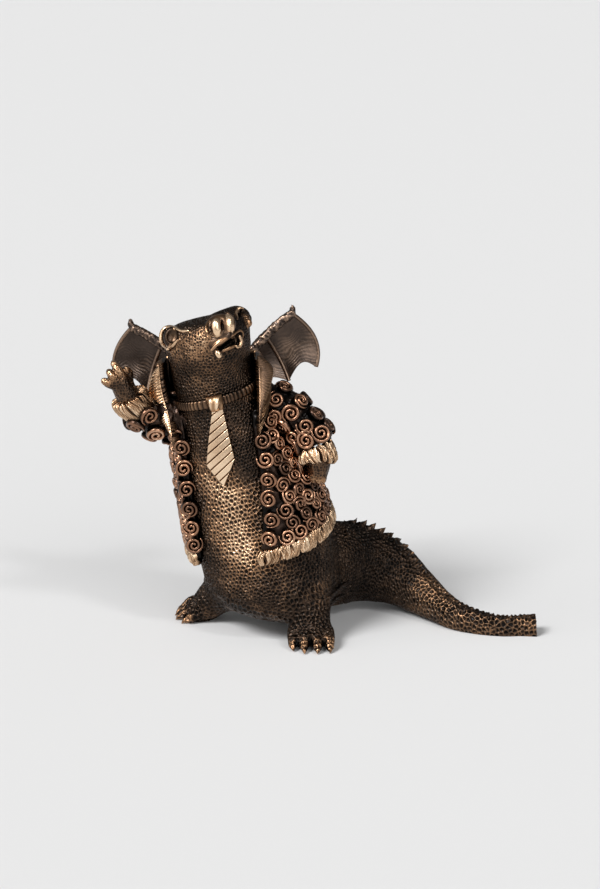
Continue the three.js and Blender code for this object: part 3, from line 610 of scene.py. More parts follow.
# Colours from the deepest patina to the most rubbed metal
HIDE = [(0.004, 0.0032, 0.0027), (0.055, 0.034, 0.022), (0.36, 0.2, 0.105), (0.92, 0.66, 0.43)]
WOOL = [(0.004, 0.003, 0.0025), (0.07, 0.038, 0.025), (0.42, 0.22, 0.13), (0.9, 0.62, 0.42)]
PALE = [(0.005, 0.004, 0.003), (0.12, 0.07, 0.042), (0.5, 0.3, 0.165), (0.95, 0.72, 0.5)]
SHEER = [(0.006, 0.005, 0.0045), (0.07, 0.05, 0.04), (0.3, 0.2, 0.14), (0.85, 0.6, 0.42)]


def bronze(name, colours, roughness, grain, low=0.0, high=1.0):
    """A patina that the mesh's mark and a cloudy noise rub through, from low to high of its colours. The
    mark holds wear, and also painted shade and painted highlights.
    """
    material = bpy.data.materials.new(name)
    material.use_nodes = True
    nodes = material.node_tree.nodes
    link = material.node_tree.links.new
    shader = nodes["Principled BSDF"]

    def add(kind, values, sources=()):
        node = nodes.new("ShaderNode" + kind)
        for socket, value in values.items():
            node.inputs[socket].default_value = value
        for socket, source in sources:
            link(source, node.inputs[socket])
        return node

    def remap(source, start, end, first, last):
        values = {"From Min": start, "From Max": end, "To Min": first, "To Max": last}
        return add("MapRange", values, [("Value", source)]).outputs["Result"]

    place = add("TexCoord", {}).outputs["Object"]
    cloudy = add("TexNoise", {"Scale": 120, "Detail": 5}, [("Vector", place)])
    fine = add("TexNoise", {"Scale": 1400, "Detail": 3}, [("Vector", place)])
    wear_and_painted_light = add("Attribute", {})
    wear_and_painted_light.attribute_name = "wear_and_painted_light"
    patchy = remap(cloudy.outputs["Fac"], 0.3, 0.7, -0.13, 0.13)
    total = add("Math", {}, [(0, wear_and_painted_light.outputs["Fac"]), (1, patchy)]).outputs["Value"]
    ramp = add("ValToRGB", {}, [("Fac", remap(total, 0, 1, low, high))])
    stops = ramp.color_ramp.elements
    stops.new(0.34)
    stops.new(0.68)
    for stop, colour in zip(stops, colours):
        stop.color = (*colour, 1)
    bump = add("Bump", {"Strength": grain, "Distance": 0.0002}, [("Height", fine.outputs["Fac"])])
    shader.inputs["Metallic"].default_value = 1.0
    shader.inputs["Coat Weight"].default_value = 0.12
    shader.inputs["Coat Roughness"].default_value = 0.14
    link(ramp.outputs["Color"], shader.inputs["Base Color"])
    link(remap(total, 0, 1, roughness + 0.1, roughness - 0.06), shader.inputs["Roughness"])
    link(bump.outputs["Normal"], shader.inputs["Normal"])
    return material


SKIN = bronze("skin_bronze", HIDE, 0.28, 0.5)
FLEECE = bronze("fleece_bronze", WOOL, 0.24, 0.25)
MEMBRANE = bronze("membrane_bronze", SHEER, 0.32, 0.5)
FUR = bronze("fur_bronze", PALE, 0.27, 0.25)
TIE = bronze("tie_bronze", PALE, 0.32, 0.25)


# Skin textures: each gives a height in millimetres and how rubbed the place is

def honeycomb(along, across, pitch, depth, seed=3):
    """Round pits in staggered rows, a little astray, with a thin ridge between them."""
    tall = pitch * 0.87
    near = np.full(len(along), 9.0)
    second = np.full(len(along), 9.0)
    deep = np.zeros(len(along))
    for up, aside in itertools.product((-1, 0, 1), repeat=2):
        row = np.floor(along / tall) + up
        stagger = np.mod(row, 2) / 2
        column = np.floor(across / pitch - stagger) + aside
        luck = scatter(np.stack([row, column, row * 0], -1), seed) - 0.5
        x = (column + 0.5 + stagger + luck[:, 0] * 0.75) * pitch - across
        y = (row + 0.5 + luck[:, 1] * 0.75) * tall - along
        gap = np.hypot(x, y) / pitch
        deep = np.where(gap < near, 1 + 0.7 * luck[:, 2], deep)
        second = np.minimum(second, np.maximum(near, gap))
        near = np.minimum(near, gap)
    apart = second - near
    return -depth * deep * smoothstep(apart, 0.02, 0.5), np.exp(-((apart / 0.28) ** 2))


def hammered(points, pitch, depth, seed=3):
    near, second = cells_at(points, pitch, seed, 0.7)
    apart = second - near
    return -depth * smoothstep(apart, 0.02, 0.5), np.exp(-((apart / 0.26) ** 2))


# Trunk, legs and tail, blended as one casting is chased into the next

def toe_wire(points, root, heading, length):
    width = 1.45

    def ahead(far, height):
        return (*(root + heading * far), height)

    knuckle = [ahead(-2.6, 3.4), ahead(length * 0.3, 2.9), ahead(length, 1.5)]
    claw = [ahead(length - 0.2, 1.6), ahead(length + 1.4, 1.1), ahead(length + 2.4, 0.35)]
    toe = wire(points, knuckle, [width, width * 1.08, width * 0.9])
    return blend(toe, wire(points, claw, [0.85, 0.7, 0.2]), 0.5)


# For each foot its centre, its heading, and how far aside and how long each toe is
TOES = [
    ((-35.2, 14.4), 188, [(-6, 2.6), (-2.2, 3.6), (1.6, 3.8), (5, 2.4)]),
    ((-2.8, -10.8), -88, [(-5.2, 1.6), (-2.2, 3.4), (1.4, 4), (4.7, 3.3)]),
]


def toes(points, foot):
    centre, degrees, spots = TOES[foot]
    heading = np.array([math.cos(math.radians(degrees)), math.sin(math.radians(degrees))])
    aside = np.array([-heading[1], heading[0]])
    out = np.full(len(points), 99.0)
    close = np.linalg.norm(points[:, :2] - centre, axis=1) < 14
    for offset, length in spots:
        toe = toe_wire(points[close], centre + aside * offset, heading, length)
        out[close] = blend(out[close], toe, 0.6)
    return out


# The distance from a limb, only worked out for the points in its surroundings
def from_limb(points, limb, reach):
    line = limb.centre(np.linspace(0, 1, 24))
    some = ((points > line.min(0) - reach) & (points < line.max(0) + reach)).all(1)
    out = np.full(len(points), 30.0)
    out[some] = limb.distance(points[some])
    return out


# The belly, which fills out the trunk's foot
BELLY = ((-13.7, 5, 13), (16.4, 15.6, 8.8))


def body_parts(points):
    main = blend(trunk.distance(points), ball(points, *BELLY), 2)
    back = from_limb(points, tail, 20)
    right = blend(from_limb(points, right_leg, 14), toes(points, 0), 1.6)
    left = blend(from_limb(points, left_leg, 14), toes(points, 1), 1.6)
    return np.stack([main, back, right, left])


def body_distance(points):
    main, back, right, left = body_parts(points)
    whole = blend(main, back, 6)
    whole = blend(whole, right, 5)
    whole = blend(whole, left, 4.5)
    return np.maximum(whole, -points[:, 2])


def crest(points):
    """Teeth on the tail's top and two rows of scutes behind them: height to add, and how rubbed."""
    t, row, _, x, y = tail.local(points)
    side = np.abs(np.arctan2(y, x)) * row[:, 3]
    part = np.mod((t - CREST_START) / (CREST_END - CREST_START) * (CREST_TEETH - 1) + 0.75, 1)
    fade = smoothstep(t, 0.09, 0.12) * (1 - smoothstep(t, 0.41, 0.46))
    tooth = np.clip(1 - side / (TOOTH_HALF * (1 - 0.7 * part)), 0, 1) * (0.2 + 0.8 * part) * (part < 0.93)
    scute_part = np.mod((t - SCUTE_START) / SCUTE_PITCH, 1)
    rows = np.clip(1 - np.abs(side - SCUTE_SIDE) / SCUTE_HALF, 0, 1)
    scute_fade = smoothstep(t, SCUTE_START, 0.46) * (1 - smoothstep(t, 0.93, 0.97))
    scute = rows * np.sin(np.pi * scute_part) ** 0.7 * (0.4 + 0.6 * scute_part)
    tooth_height = TOOTH_HEIGHT * lerp(1, 0.65, smoothstep(t, CREST_START, CREST_END))
    height = tooth_height * tooth * fade + SCUTE_HEIGHT * scute * scute_fade
    return height, np.clip(tooth * fade + scute * scute_fade, 0, 1)


# The pitted hide, which follows each limb and is finer up the chest
def hide(points):
    height = np.zeros(len(points))
    ridge = np.zeros(len(points))
    parts = body_parts(points)
    share = np.exp(-(parts - parts.min(0)) / 0.5)
    share /= share.sum(0)
    for limb, part, facing in ((trunk, share[0], -90), (tail, share[1], 0),
                               (right_leg, share[2], 0), (left_leg, share[3], 0)):
        some = part > 0.02
        along, across, ended = limb.unrolled(points[some], facing)
        pits, ridges = honeycomb(along, across, PIT_PITCH, PIT_DEPTH)
        pits[ended], ridges[ended] = hammered(points[some][ended], PIT_PITCH, 0.4)
        if limb is trunk:
            fine_pits, fine_ridges = honeycomb(along, across, CHEST_PITCH, CHEST_DEPTH, 5)
            high_up = smoothstep(points[some][:, 2], 44, 54)
            pits = lerp(pits, fine_pits, high_up)
            ridges = lerp(ridges, fine_ridges, high_up)
        height[some] += pits * part[some]
        ridge[some] += ridges * part[some]
    return height, ridge


# The golden belly where it stands out, rubbed metal with a painted highlight on the side that the light
# falls on, and the rubbed toes
def rubbed_spots_and_belly_highlight(points):
    x, y, z = points.T
    middle = lerp(-18, -28, smoothstep(z, 10, 55))
    belly_rub_and_highlight = bump_at(x, middle, 7.5) * smoothstep(-y, 2, 8)
    belly_rub_and_highlight *= smoothstep(z, 12, 28) * (1 - smoothstep(z, 44, 56))
    toe = 1 - smoothstep(z, 2.2, 4.6)
    toe *= np.clip(smoothstep(-y, 11, 15) + smoothstep(-x, 35, 38), 0, 1)
    return belly_rub_and_highlight, toe


def body():
    low = (-46, -25, -1.2)
    high = (61, 34, NECK_JOINT + 3)
    points, faces, normals, light_reach = sculpted(body_distance, low, high, FINE)
    height, ridge = hide(points)
    belly_rub_and_highlight, toe = rubbed_spots_and_belly_highlight(points)
    crest_height, crest_worn = crest(points)
    on_tail = smoothstep(points[:, 0], 4, 12)
    height = height * (1 - 0.7 * crest_worn * on_tail) + crest_height * on_tail
    flat = smoothstep(points[:, 2], 0, 0.5)
    points = points + normals * (height * flat)[:, None]
    points[:, 2] = np.maximum(points[:, 2], 0)
    flank = smoothstep(points[:, 0], 14, 24) * smoothstep(-points[:, 1], -26, -14)
    far_end = smoothstep(points[:, 0], 24, 40)
    warm = 0.34 + 0.1 * noise(points, 8, 6)
    # The belly's broad golden patch is partly rubbed metal and partly a painted highlight
    warm = warm + 0.42 * belly_rub_and_highlight + 0.2 * flank + 0.1 * far_end - 0.12 * on_tail
    # Ridges and toes are kept dark where the surface is closed in: patina in the hollows, and painted
    # shade in creases and between the limbs
    wear_and_painted_light = 0.03 + 0.2 * belly_rub_and_highlight + ridge * warm * smoothstep(light_reach, 0.2, 0.75)
    wear_and_painted_light = wear_and_painted_light + 0.42 * toe * smoothstep(light_reach, 0.4, 0.9) + 0.08 * noise(points, 1.3, 8)
    wear_and_painted_light = wear_and_painted_light + crest_worn**2 * on_tail * 0.4
    keep_low = (points[:, 2] < NECK_JOINT + 1)[faces].all(1)
    owners = body_parts(points).argmin(0)[faces]
    for index, name in enumerate(("trunk", "tail", "right_leg", "left_leg")):
        belongs = np.sort(owners, 1)[:, 1] == index
        make_skin(name, points, faces[belongs & keep_low], wear_and_painted_light)


# Head

HEAD_AXES = axes_of((-HEAD_PITCH, -HEAD_ROLL, HEAD_TURN))

# Two planes cut the head: the flat crown, which falls to the dragon's right, and the nape
CROWN_FRONT = np.array((-31.5, -4, 93.2))
CROWN_UP = unit(np.array((-0.27, 0.12, 1.0)))
NAPE = np.array((-31, 8, 86.5))
NAPE_OUT = unit(np.array((-0.1, 0.8, 0.65)))


def in_head(points):
    return (points - np.array(HEAD_CENTRE)) @ HEAD_AXES


def head_mass(points):
    """Skull, snout and jaw over the neck, before the face is cut."""
    q = in_head(points)
    mass = ball(q, (0, 0, 0), (11.2, 8.5, 5.8))
    mass = blend(mass, ball(q, (0, -6.8, -0.9), (6.8, 6.1, 5)), 4)
    mass = blend(mass, ball(q, (0, -4, -4.8), (8.8, 7, 5)), 3)
    neck = blend(trunk.distance(points), ball(points, (-31, 1.8, 87), (9.7, 8.3, 4)), 2)
    mass = blend(neck, mass, 4)
    mass = carve(mass, -((points - NAPE) @ NAPE_OUT), 6)
    return carve(mass, -((points - CROWN_FRONT) @ CROWN_UP), 6)


TILT = math.radians(ELEVATION)
TOWARDS = np.array([0, -math.cos(TILT), math.sin(TILT)])  # from the target to the camera
UPRIGHT = np.array([0, math.sin(TILT), math.cos(TILT)])
EYE = np.array(TARGET) + TOWARDS * DISTANCE - SHIFT


def sight(pixels):
    """Directions from the camera in which the photograph's pixels lie."""
    pixels = np.atleast_2d(np.array(pixels, float))
    across = (pixels[:, :1] - PICTURE[0] / 2) / PIXELS * np.array([1, 0, 0])
    up = (PICTURE[1] / 2 - pixels[:, 1:2]) / PIXELS * UPRIGHT
    return unit(np.array(TARGET) - SHIFT + across + up - EYE)


# Places on the head where the photograph shows them, some millimetres over its skin.
# A line of sight that passes the head gives its nearest place.
def on_face(pixels, lift=0.0):
    ways = sight(pixels)
    from_eye = (np.array(HEAD_CENTRE) - EYE) @ TOWARDS
    middle = EYE + ways * (from_eye / (ways @ TOWARDS))[:, None]
    steps = np.linspace(-18, 14, 161)
    places = middle[:, None] + ways[:, None] * steps[:, None]
    away = head_mass(places.reshape(-1, 3)).reshape(len(ways), -1)
    first = np.where((away < 0.1).any(1), (away < 0.1).argmax(1), away.argmin(1))
    return places[np.arange(len(ways)), first] + TOWARDS * np.broadcast_to(lift, len(ways))[:, None]


def picture_axes(roll):
    """Axes that face the camera, turned in the picture."""
    c = math.cos(math.radians(roll))
    s = math.sin(math.radians(roll))
    right = np.array([1.0, 0, 0])
    return np.stack([right * c + UPRIGHT * s, UPRIGHT * c - right * s, TOWARDS], 1)


# Where the photograph shows the forms of the face, in its pixels
NOSE, NOSE_SLIT, PAD_GAP = (221, 325.5), (209.8, 328.7), (222.6, 325)
RIGHT_PAD, LEFT_PAD = (216.4, 327.6), (228.6, 324.6)
NOSE_FOLD = [(207.3, 332.5), (206.3, 327.5), (208.7, 322.3), (213.5, 317.8), (219, 314.8),
             (225.5, 313.8), (230.5, 315.6), (233.3, 319.5), (233.7, 324.5), (233, 330)]
UPPER_LIP, MOUTH, RIGHT_FANG = (221, 340), (229, 344.2), (218.2, 353.9)
LIP_LINE = [(211.6, 350.4), (216.6, 345), (221.9, 341), (227.3, 337.9), (232.6, 335.2),
            (236.4, 332.3), (239.3, 330.8), (242, 332), (243, 335), (242, 338)]
TONGUE = [(222, 351.6), (225.5, 349.6), (230, 347.8), (234.6, 345.8)]
LEFT_FANG = [(239.6, 336.6), (241.3, 341), (240, 345.6), (237.6, 347.4), (236.4, 345.8)]
EAR, EAR_BOWL, EYE_GLINT = (171.6, 337), (172.2, 336.6), (190, 332.4)
EAR_RIM = [(168.5, 349), (164.6, 345.5), (162.2, 340), (162.2, 334), (164.4, 329.8),
           (168.2, 327.4), (172.5, 327.2), (176.5, 328.8), (181, 330.9), (187.5, 330.6)]
EAR_GLEAM = [(167.6, 344.5), (168.6, 341.5), (168.6, 338.5)]
EAR_LOBE = [(168, 349.4), (173, 345.6), (177.5, 340.5)]
EYE_SLIT = [(178.5, 333.6), (183.5, 334.2), (188, 332.9)]
CROWN_RIDGE = [(212, 318.5), (226, 313.5), (236, 311), (243, 313), (247.5, 318)]
LEFT_EAR_FOLD = [(238.2, 318.4), (236.6, 314.6), (237.2, 310.8), (239.8, 308.2), (243, 308.4)]
LEFT_EAR_CUT = [(240.4, 311), (239.4, 314), (239.4, 318.4)]
LEFT_EAR_BACK, LEFT_EAR_ROOT = (245.6, 317.5), (247, 323)
CREASES = [[(243, y + 0.5), (247, y), (250.5, y + 1.5)] for y in (320, 322.2, 324.2)]
# Where the right cheek is rubbed: pixel, reach and share
CHEEK = (((199, 342), 3.8, 0.85), ((190, 348), 4.8, 0.8), ((177, 352), 4, 0.7))


def face_features():
    """Each is added or cut, with its solid, how softly it joins, and how rubbed it is."""
    features = []

    def line(kind, pixels, radii, lift=0.0, soft=0.4, shine=0.0):
        path = on_face(pixels, lift)
        features.append((kind, lambda points: wire(points, path, radii), soft, shine))

    def lump(kind, pixel, radii, roll=0.0, lift=0.0, soft=0.4, shine=0.0):
        centre = on_face([pixel], lift)[0]
        axes = picture_axes(roll)
        features.append((kind, lambda points: ball(points, centre, radii, axes), soft, shine))

    # Nose: two pads under a curved fold, a cut between them and a slit beside them
    lump("add", NOSE, (4, 3.1, 2), 12, -0.6, 1.2, 0.4)
    line("add", NOSE_FOLD, 0.42, 0.85, 0.3, 0.6)
    lump("add", RIGHT_PAD, (1.3, 2.4, 1.2), 6, 0.75, 0.45, 0.95)
    lump("add", LEFT_PAD, (1.4, 2.7, 1.25), 2, 0.8, 0.45, 1)
    lump("cut", PAD_GAP, (0.3, 2.3, 1.1), 6, 2, 0.3)
    lump("cut", NOSE_SLIT, (0.42, 0.95, 1.1), 4, 1.2, 0.2)
    # Mouth
    lump("add", UPPER_LIP, (3.2, 1.4, 1.2), 30, 0, 1, 0.3)
    lump("cut", MOUTH, (2.7, 1.05, 2.4), 33, 0.4, 0.3)
    line("add", LIP_LINE, [0.35, 0.48, 0.44, 0.4, 0.38, 0.38, 0.4, 0.38, 0.33, 0.28], 0.9, 0.3, 0.62)
    line("add", TONGUE, [0.35, 0.55, 0.6, 0.4], 0.3, 0.3, 0.6)
    lump("add", RIGHT_FANG, (0.85, 1.35, 0.8), 28, 0.9, 0.2, 1)
    line("add", LEFT_FANG, [0.5, 0.5, 0.55, 0.4, 0.2], 1, 0.2, 0.85)
    # Right ear, an open bowl whose rim runs on to the eye
    lump("add", EAR, (2.2, 2.8, 1.5), -8, 0.1, 0.8, 0.3)
    lump("cut", EAR_BOWL, (1.7, 2.2, 1.3), -8, 1.6, 0.3, 0.4)
    line("add", EAR_RIM, [0.5, 0.7, 0.76, 0.72, 0.66, 0.58, 0.5, 0.4, 0.3, 0.16],
         [0.9, 1.1, 1.1, 1.1, 1.1, 1.05, 0.9, 0.55, 0.2, 0.05], 0.35, 0.95)
    line("add", EAR_GLEAM, [0.5, 0.7, 0.35], 0.7, 0.4, 1)
    line("add", EAR_LOBE, [0.45, 0.55, 0.3], [0.7, 0.6, 0.3], 0.4, 0.8)
    line("cut", EYE_SLIT, [0.3, 0.38, 0.2], [0.5, 0.35, 0.2], 0.2)
    # A small bead at the eye's corner, whose bright colour is a painted highlight
    lump("add", EYE_GLINT, (0.35, 0.35, 0.35), 0, 0.1, 0.2, 0.8)
    # Left ear: the ridge that the crown runs up to, a fold, and the creases behind it
    line("add", CROWN_RIDGE, [0.8, 1.3, 1.5, 1.4, 1], [-1, -0.9, -0.7, -0.8, -0.8], 2)
    line("add", LEFT_EAR_FOLD, [0.25, 0.34, 0.4, 0.45, 0.3], [0.6, 0.8, 0.8, 0.6, 0.4], 0.3, 0.9)
    line("cut", LEFT_EAR_CUT, 0.34, 0.9, 0.2)
    lump("add", LEFT_EAR_BACK, (1.3, 1, 1), -25, 0.2, 0.5, 0.45)
    lump("add", LEFT_EAR_ROOT, (1.4, 1.3, 0.9), 0, 0, 0.5, 0.7)
    for crease in CREASES:
        line("cut", crease, 0.16, 0.7, 0.15)
    return features


FACE_FEATURES = face_features()


def head_distance(points):
    mass = head_mass(points)
    some = np.linalg.norm(in_head(points), axis=1) < 20
    near = points[some]
    skin = mass[some]
    for kind, solid, soft, _ in FACE_FEATURES:
        join = blend if kind == "add" else carve
        skin = join(skin, solid(near), soft)
    mass[some] = skin
    return mass


def face_shine(points):
    """How rubbed the features of the face are, and which places they cover. The bright bead at the eye's
    corner is a painted highlight.
    """
    shine = np.zeros(len(points))
    covered = np.zeros(len(points))
    for _, solid, soft, rubbed in FACE_FEATURES:
        if rubbed:
            on = 1 - smoothstep(np.abs(solid(points)), 0.05 + soft * 0.2, 0.2 + soft * 0.45)
            shine = np.maximum(shine, on * rubbed)
            covered = np.maximum(covered, on)
    return shine, covered


def head():
    low = (-50, -21, NECK_JOINT - 2)
    high = (-14, 16, 97)
    points, faces, normals, light_reach = sculpted(head_distance, low, high, FACE)
    along, across, _ = trunk.unrolled(points, -90)
    height, ridge = honeycomb(along, across, NECK_PITCH, NECK_DEPTH, 5)
    crown_height, crown_ridge = hammered(points, CROWN_PITCH, CROWN_DEPTH, 9)
    crown = smoothstep(points[:, 2], 81, 86)
    height = lerp(height, crown_height, crown)
    ridge = lerp(ridge, crown_ridge, crown)
    cheek = np.zeros(len(points))
    for pixel, reach, share in CHEEK:
        away = np.linalg.norm(points - on_face([pixel])[0], axis=1)
        cheek = np.maximum(cheek, share * bump_at(away, 0, reach))
    scales, scale_ridge = hammered(points, CHEEK_PITCH, CHEEK_DEPTH, 12)
    shine, covered = face_shine(points)
    height = lerp(height, scales, cheek) * (1 - covered)
    points = points + normals * height[:, None]
    warm = lerp(0.42, 0.26, smoothstep(points[:, 2], 86, 91)) + 0.08 * noise(points, 5, 3)
    # The ridges and the face's features stay dark where the head is closed in: patina in the hollows, and
    # painted shade under the chin and in the creases
    wear_and_painted_light = 0.05 + ridge * warm * smoothstep(light_reach, 0.3, 0.8)
    wear_and_painted_light = lerp(wear_and_painted_light, 0.16 + 0.72 * scale_ridge, np.clip(cheek * 1.2, 0, 1))
    wear_and_painted_light = lerp(wear_and_painted_light, shine * (0.35 + 0.65 * smoothstep(light_reach, 0.35, 0.85)), covered)
    wear_and_painted_light = wear_and_painted_light + 0.05 * noise(points, 1.5, 4)
    keep = (points[faces][:, :, 2] > NECK_JOINT - 1).all(1)
    make_skin("head", points, faces[keep], wear_and_painted_light)


# Coat

# The angle at which the open front's middle lies, and how far it opens to each side
def midline(height):
    low = np.maximum(0, (NECK_JOINT - height) / (NECK_JOINT - HEM_FRONT))
    return -96 - 28 * low**1.3


def opening(height):
    height = np.asarray(height, float)
    wide = lerp(31, 43, (height - HEM_FRONT) / (LAPEL_TIP - HEM_FRONT))
    return wide + 24 * smoothstep(height, LAPEL_TIP, COLLAR_TOP)


def left_edge(height):
    return midline(height) + opening(height)


def right_edge(height):
    return midline(height) - opening(height) + 360


def hem_line(degrees):
    return HEM_FRONT + HEM_BACK_RISE * (smoothstep(degrees, -60, 50) - smoothstep(degrees, 130, 230))


def coat_top(degrees):
    top = NECK_JOINT - BAND_HEIGHT / 2 - 0.6
    return top - 3.5 * smoothstep(np.abs(np.asarray(degrees, float) - 90), 110, 150)


def curl(centre, across, up, out, radius, turn, hand, turns, dome):
    """The rings of a wire that lies on the coat like a snail's shell, and how far up they look. The crest
    of the wire is made bright by this, partly as rubbed metal and partly as a painted highlight.
    """
    steps = 36
    sides = 8
    wire_radius = radius * CURL_WIRE
    part = np.concatenate([[0], np.linspace(0, 1, steps), [1]])
    angle = turn + hand * part * turns * 2 * math.pi
    reach = (radius - wire_radius) * (1 - 0.86 * part)
    thick = wire_radius * (0.4 + 0.6 * smoothstep(part, 0, 0.15)) * (1.12 - 0.3 * part)
    thick[[0, -1]] = 0
    lift = 0.45 + dome * part
    phi = np.arange(sides) * 2 * math.pi / sides
    beside = across * np.cos(angle)[:, None] + up * np.sin(angle)[:, None]
    middle = centre + beside * reach[:, None] + out * lift[:, None]
    points = (
        middle[:, None]
        + beside[:, None] * (thick[:, None] * np.cos(phi))[..., None]
        + out * (thick[:, None] * np.sin(phi) * CURL_RISE)[..., None]
    )
    return points, np.broadcast_to(0.5 + 0.5 * np.sin(phi), (len(part), sides))


# A point of a surface with the directions across, up and out from it
def surface_frame(place, u, v):
    u = np.array(u)
    v = np.array(v)
    step = 0.004
    at = place(u, v)
    across = unit(place(u + step, v) - place(u - step, v))
    up = place(u, v + step) - place(u, v - step)
    out = unit(np.cross(across, up))
    return at, across, np.cross(out, across), out


def add_curl(pile, at, across, up, out, size, chance):
    """One curl with a turn, hand, tilt and shine of its own."""
    tilt = chance.uniform(-0.2, 0.2, 2)
    out = unit(out + across * tilt[0] + up * tilt[1])
    across = unit(across - out * (across @ out))
    up = np.cross(out, across)
    hand = 1 if chance.uniform() > 0.35 else -1
    turn = chance.uniform(0, 2 * math.pi)
    turns = chance.uniform(1.9, 2.15)
    dome = chance.uniform(-0.2, 0.7)
    points, top = curl(at, across, up, out, size, turn, hand, turns, dome)
    # The wire's crest is bright and its sides dark: rubbed metal with a narrow painted highlight along the
    # crest
    pile.add_tube(points, 0.03 + smoothstep(top, 0.54, 0.98) * chance.uniform(0.45, 0.77))


def length_of(line):
    return np.linalg.norm(np.diff(line, axis=0), axis=1).sum()


def add_curls(pile, place, pitch, free, seed, closed=False):
    """Curls in staggered rows over a surface, each a little different."""
    chance = np.random.default_rng(seed)
    half = np.array(0.5)
    tall = np.linalg.norm(place(half, np.array(0.99)) - place(half, np.array(0.01)))
    rows = max(1, round(tall / (pitch * 0.88)))
    for row in range(rows):
        v = (row + 0.5) / rows
        width = length_of(place(np.linspace(0, 1, 60), np.full(60, v)))
        count = max(1, round(width / pitch + 0.2))
        shift = (0.25 if row % 2 else -0.25) * (1 if closed else 0.7) * (count > 1)
        for column in range(count):
            u = (column + 0.5 + shift + chance.uniform(-0.06, 0.06)) / count
            astray = v + chance.uniform(-0.1, 0.1) / rows
            at, across, up, out = surface_frame(place, u, astray)
            size = pitch * CURL_RADIUS * chance.uniform(0.86, 1.06)
            if free(at, size):
                add_curl(pile, at, across, up, out, size, chance)


# A column of curls that wraps a front edge and looks forward
def add_edge_curls(pile, place, u, seed):
    chance = np.random.default_rng(seed)
    tall = length_of(place(np.full(40, u), np.linspace(0, 1, 40)))
    count = round(0.8 * tall / EDGE_PITCH)
    for row in range(count):
        v = lerp(0.05, 0.85, (row + 0.5) / count)
        at, across, up, out = surface_frame(place, u, v)
        forward = across if u > 0.5 else -across
        out = unit(out * 0.55 + forward * (0.85 if u > 0.5 else 0.3))
        across = unit(np.cross(up, out))
        size = EDGE_PITCH * EDGE_RADIUS
        add_curl(pile, at + out * 0.3, across, np.cross(out, across), out, size, chance)


# Whether a curl of the coat stays clear of the sleeves
def off_arms(at, reach):
    for arm in (right_arm, left_arm):
        line = arm.look(np.linspace(0, 1, 30))
        gap = np.linalg.norm(line[:, :3] - at, axis=1) - line[:, 3]
        if gap.min() < reach * 0.35:
            return False
    return True


def coat_panel(name, start, end, seed, over=50, wrapped=None, first=0.0):
    """A panel between two edges. Wrapped is where across it a column of curls stands that wraps its
    front edge, and first is where the other curls start.
    """
    low = lambda u: lerp(start(HEM_FRONT), end(HEM_FRONT), u)

    def place(u, v, lift=COAT_LIFT - 0.4):
        bottom = hem_line(low(u)) + HEM_HEIGHT * 0.6
        height = lerp(bottom, coat_top(low(u)), v)
        degrees = lerp(start(height), end(height), u)
        return around(height, degrees, np.broadcast_to(lift, np.shape(height)))

    v, u = grid(90, over)
    outer = place(u, v)
    bumps = 0.45 * noise(outer, 1, seed)
    edge = np.minimum(u, 1 - u) * np.linalg.norm(outer[:, -1] - outer[:, 0], axis=1)[:, None]
    rounded = np.sqrt(np.clip(edge / 0.8, 0.05, 1))
    outer = place(u, v, SKIN_GAP + (COAT_THICKNESS - 0.4 + bumps) * rounded)
    pile = Pile()
    pile.add_slab(outer, place(u, v, SKIN_GAP * 0.5), np.clip(0.4 * bumps, 0, 1))
    curled = lambda u, v: place(lerp(first, 1, u), lerp(0.045, 1, v))
    add_curls(pile, curled, CURL_PITCH, off_arms, seed)
    if wrapped is not None:
        add_edge_curls(pile, place, wrapped, seed + 1)
    make(name + "_fleece", pile, FLEECE, name)


def coat():
    side_left = lambda height: SIDE_LEFT + 0 * np.asarray(height, float)
    side_right = lambda height: SIDE_RIGHT + 0 * np.asarray(height, float)
    coat_panel("coat_left_front", left_edge, side_left, 21, wrapped=0.08, first=0.17)
    coat_panel("coat_right_front", side_right, right_edge, 22, wrapped=0.97)
    coat_panel("coat_back", side_left, side_right, 23, 110)


# Fur

def locks(along, count, seed):
    """For places along a band: how far from the middle of the nearest lock, and its random numbers."""
    spot = along * count
    gap = np.full(np.shape(spot), 9.0)
    luck = np.zeros((*np.shape(spot), 3))
    for shift in (-1, 0, 1):
        cell = np.floor(spot) + shift
        own = scatter(np.stack([np.mod(cell, count)] * 3, -1), seed)
        away = np.abs(spot - cell - 0.5 - (own[..., 0] - 0.5) * 0.7)
        luck = np.where((away < gap)[..., None], own, luck)
        gap = np.minimum(gap, away)
    return gap, luck


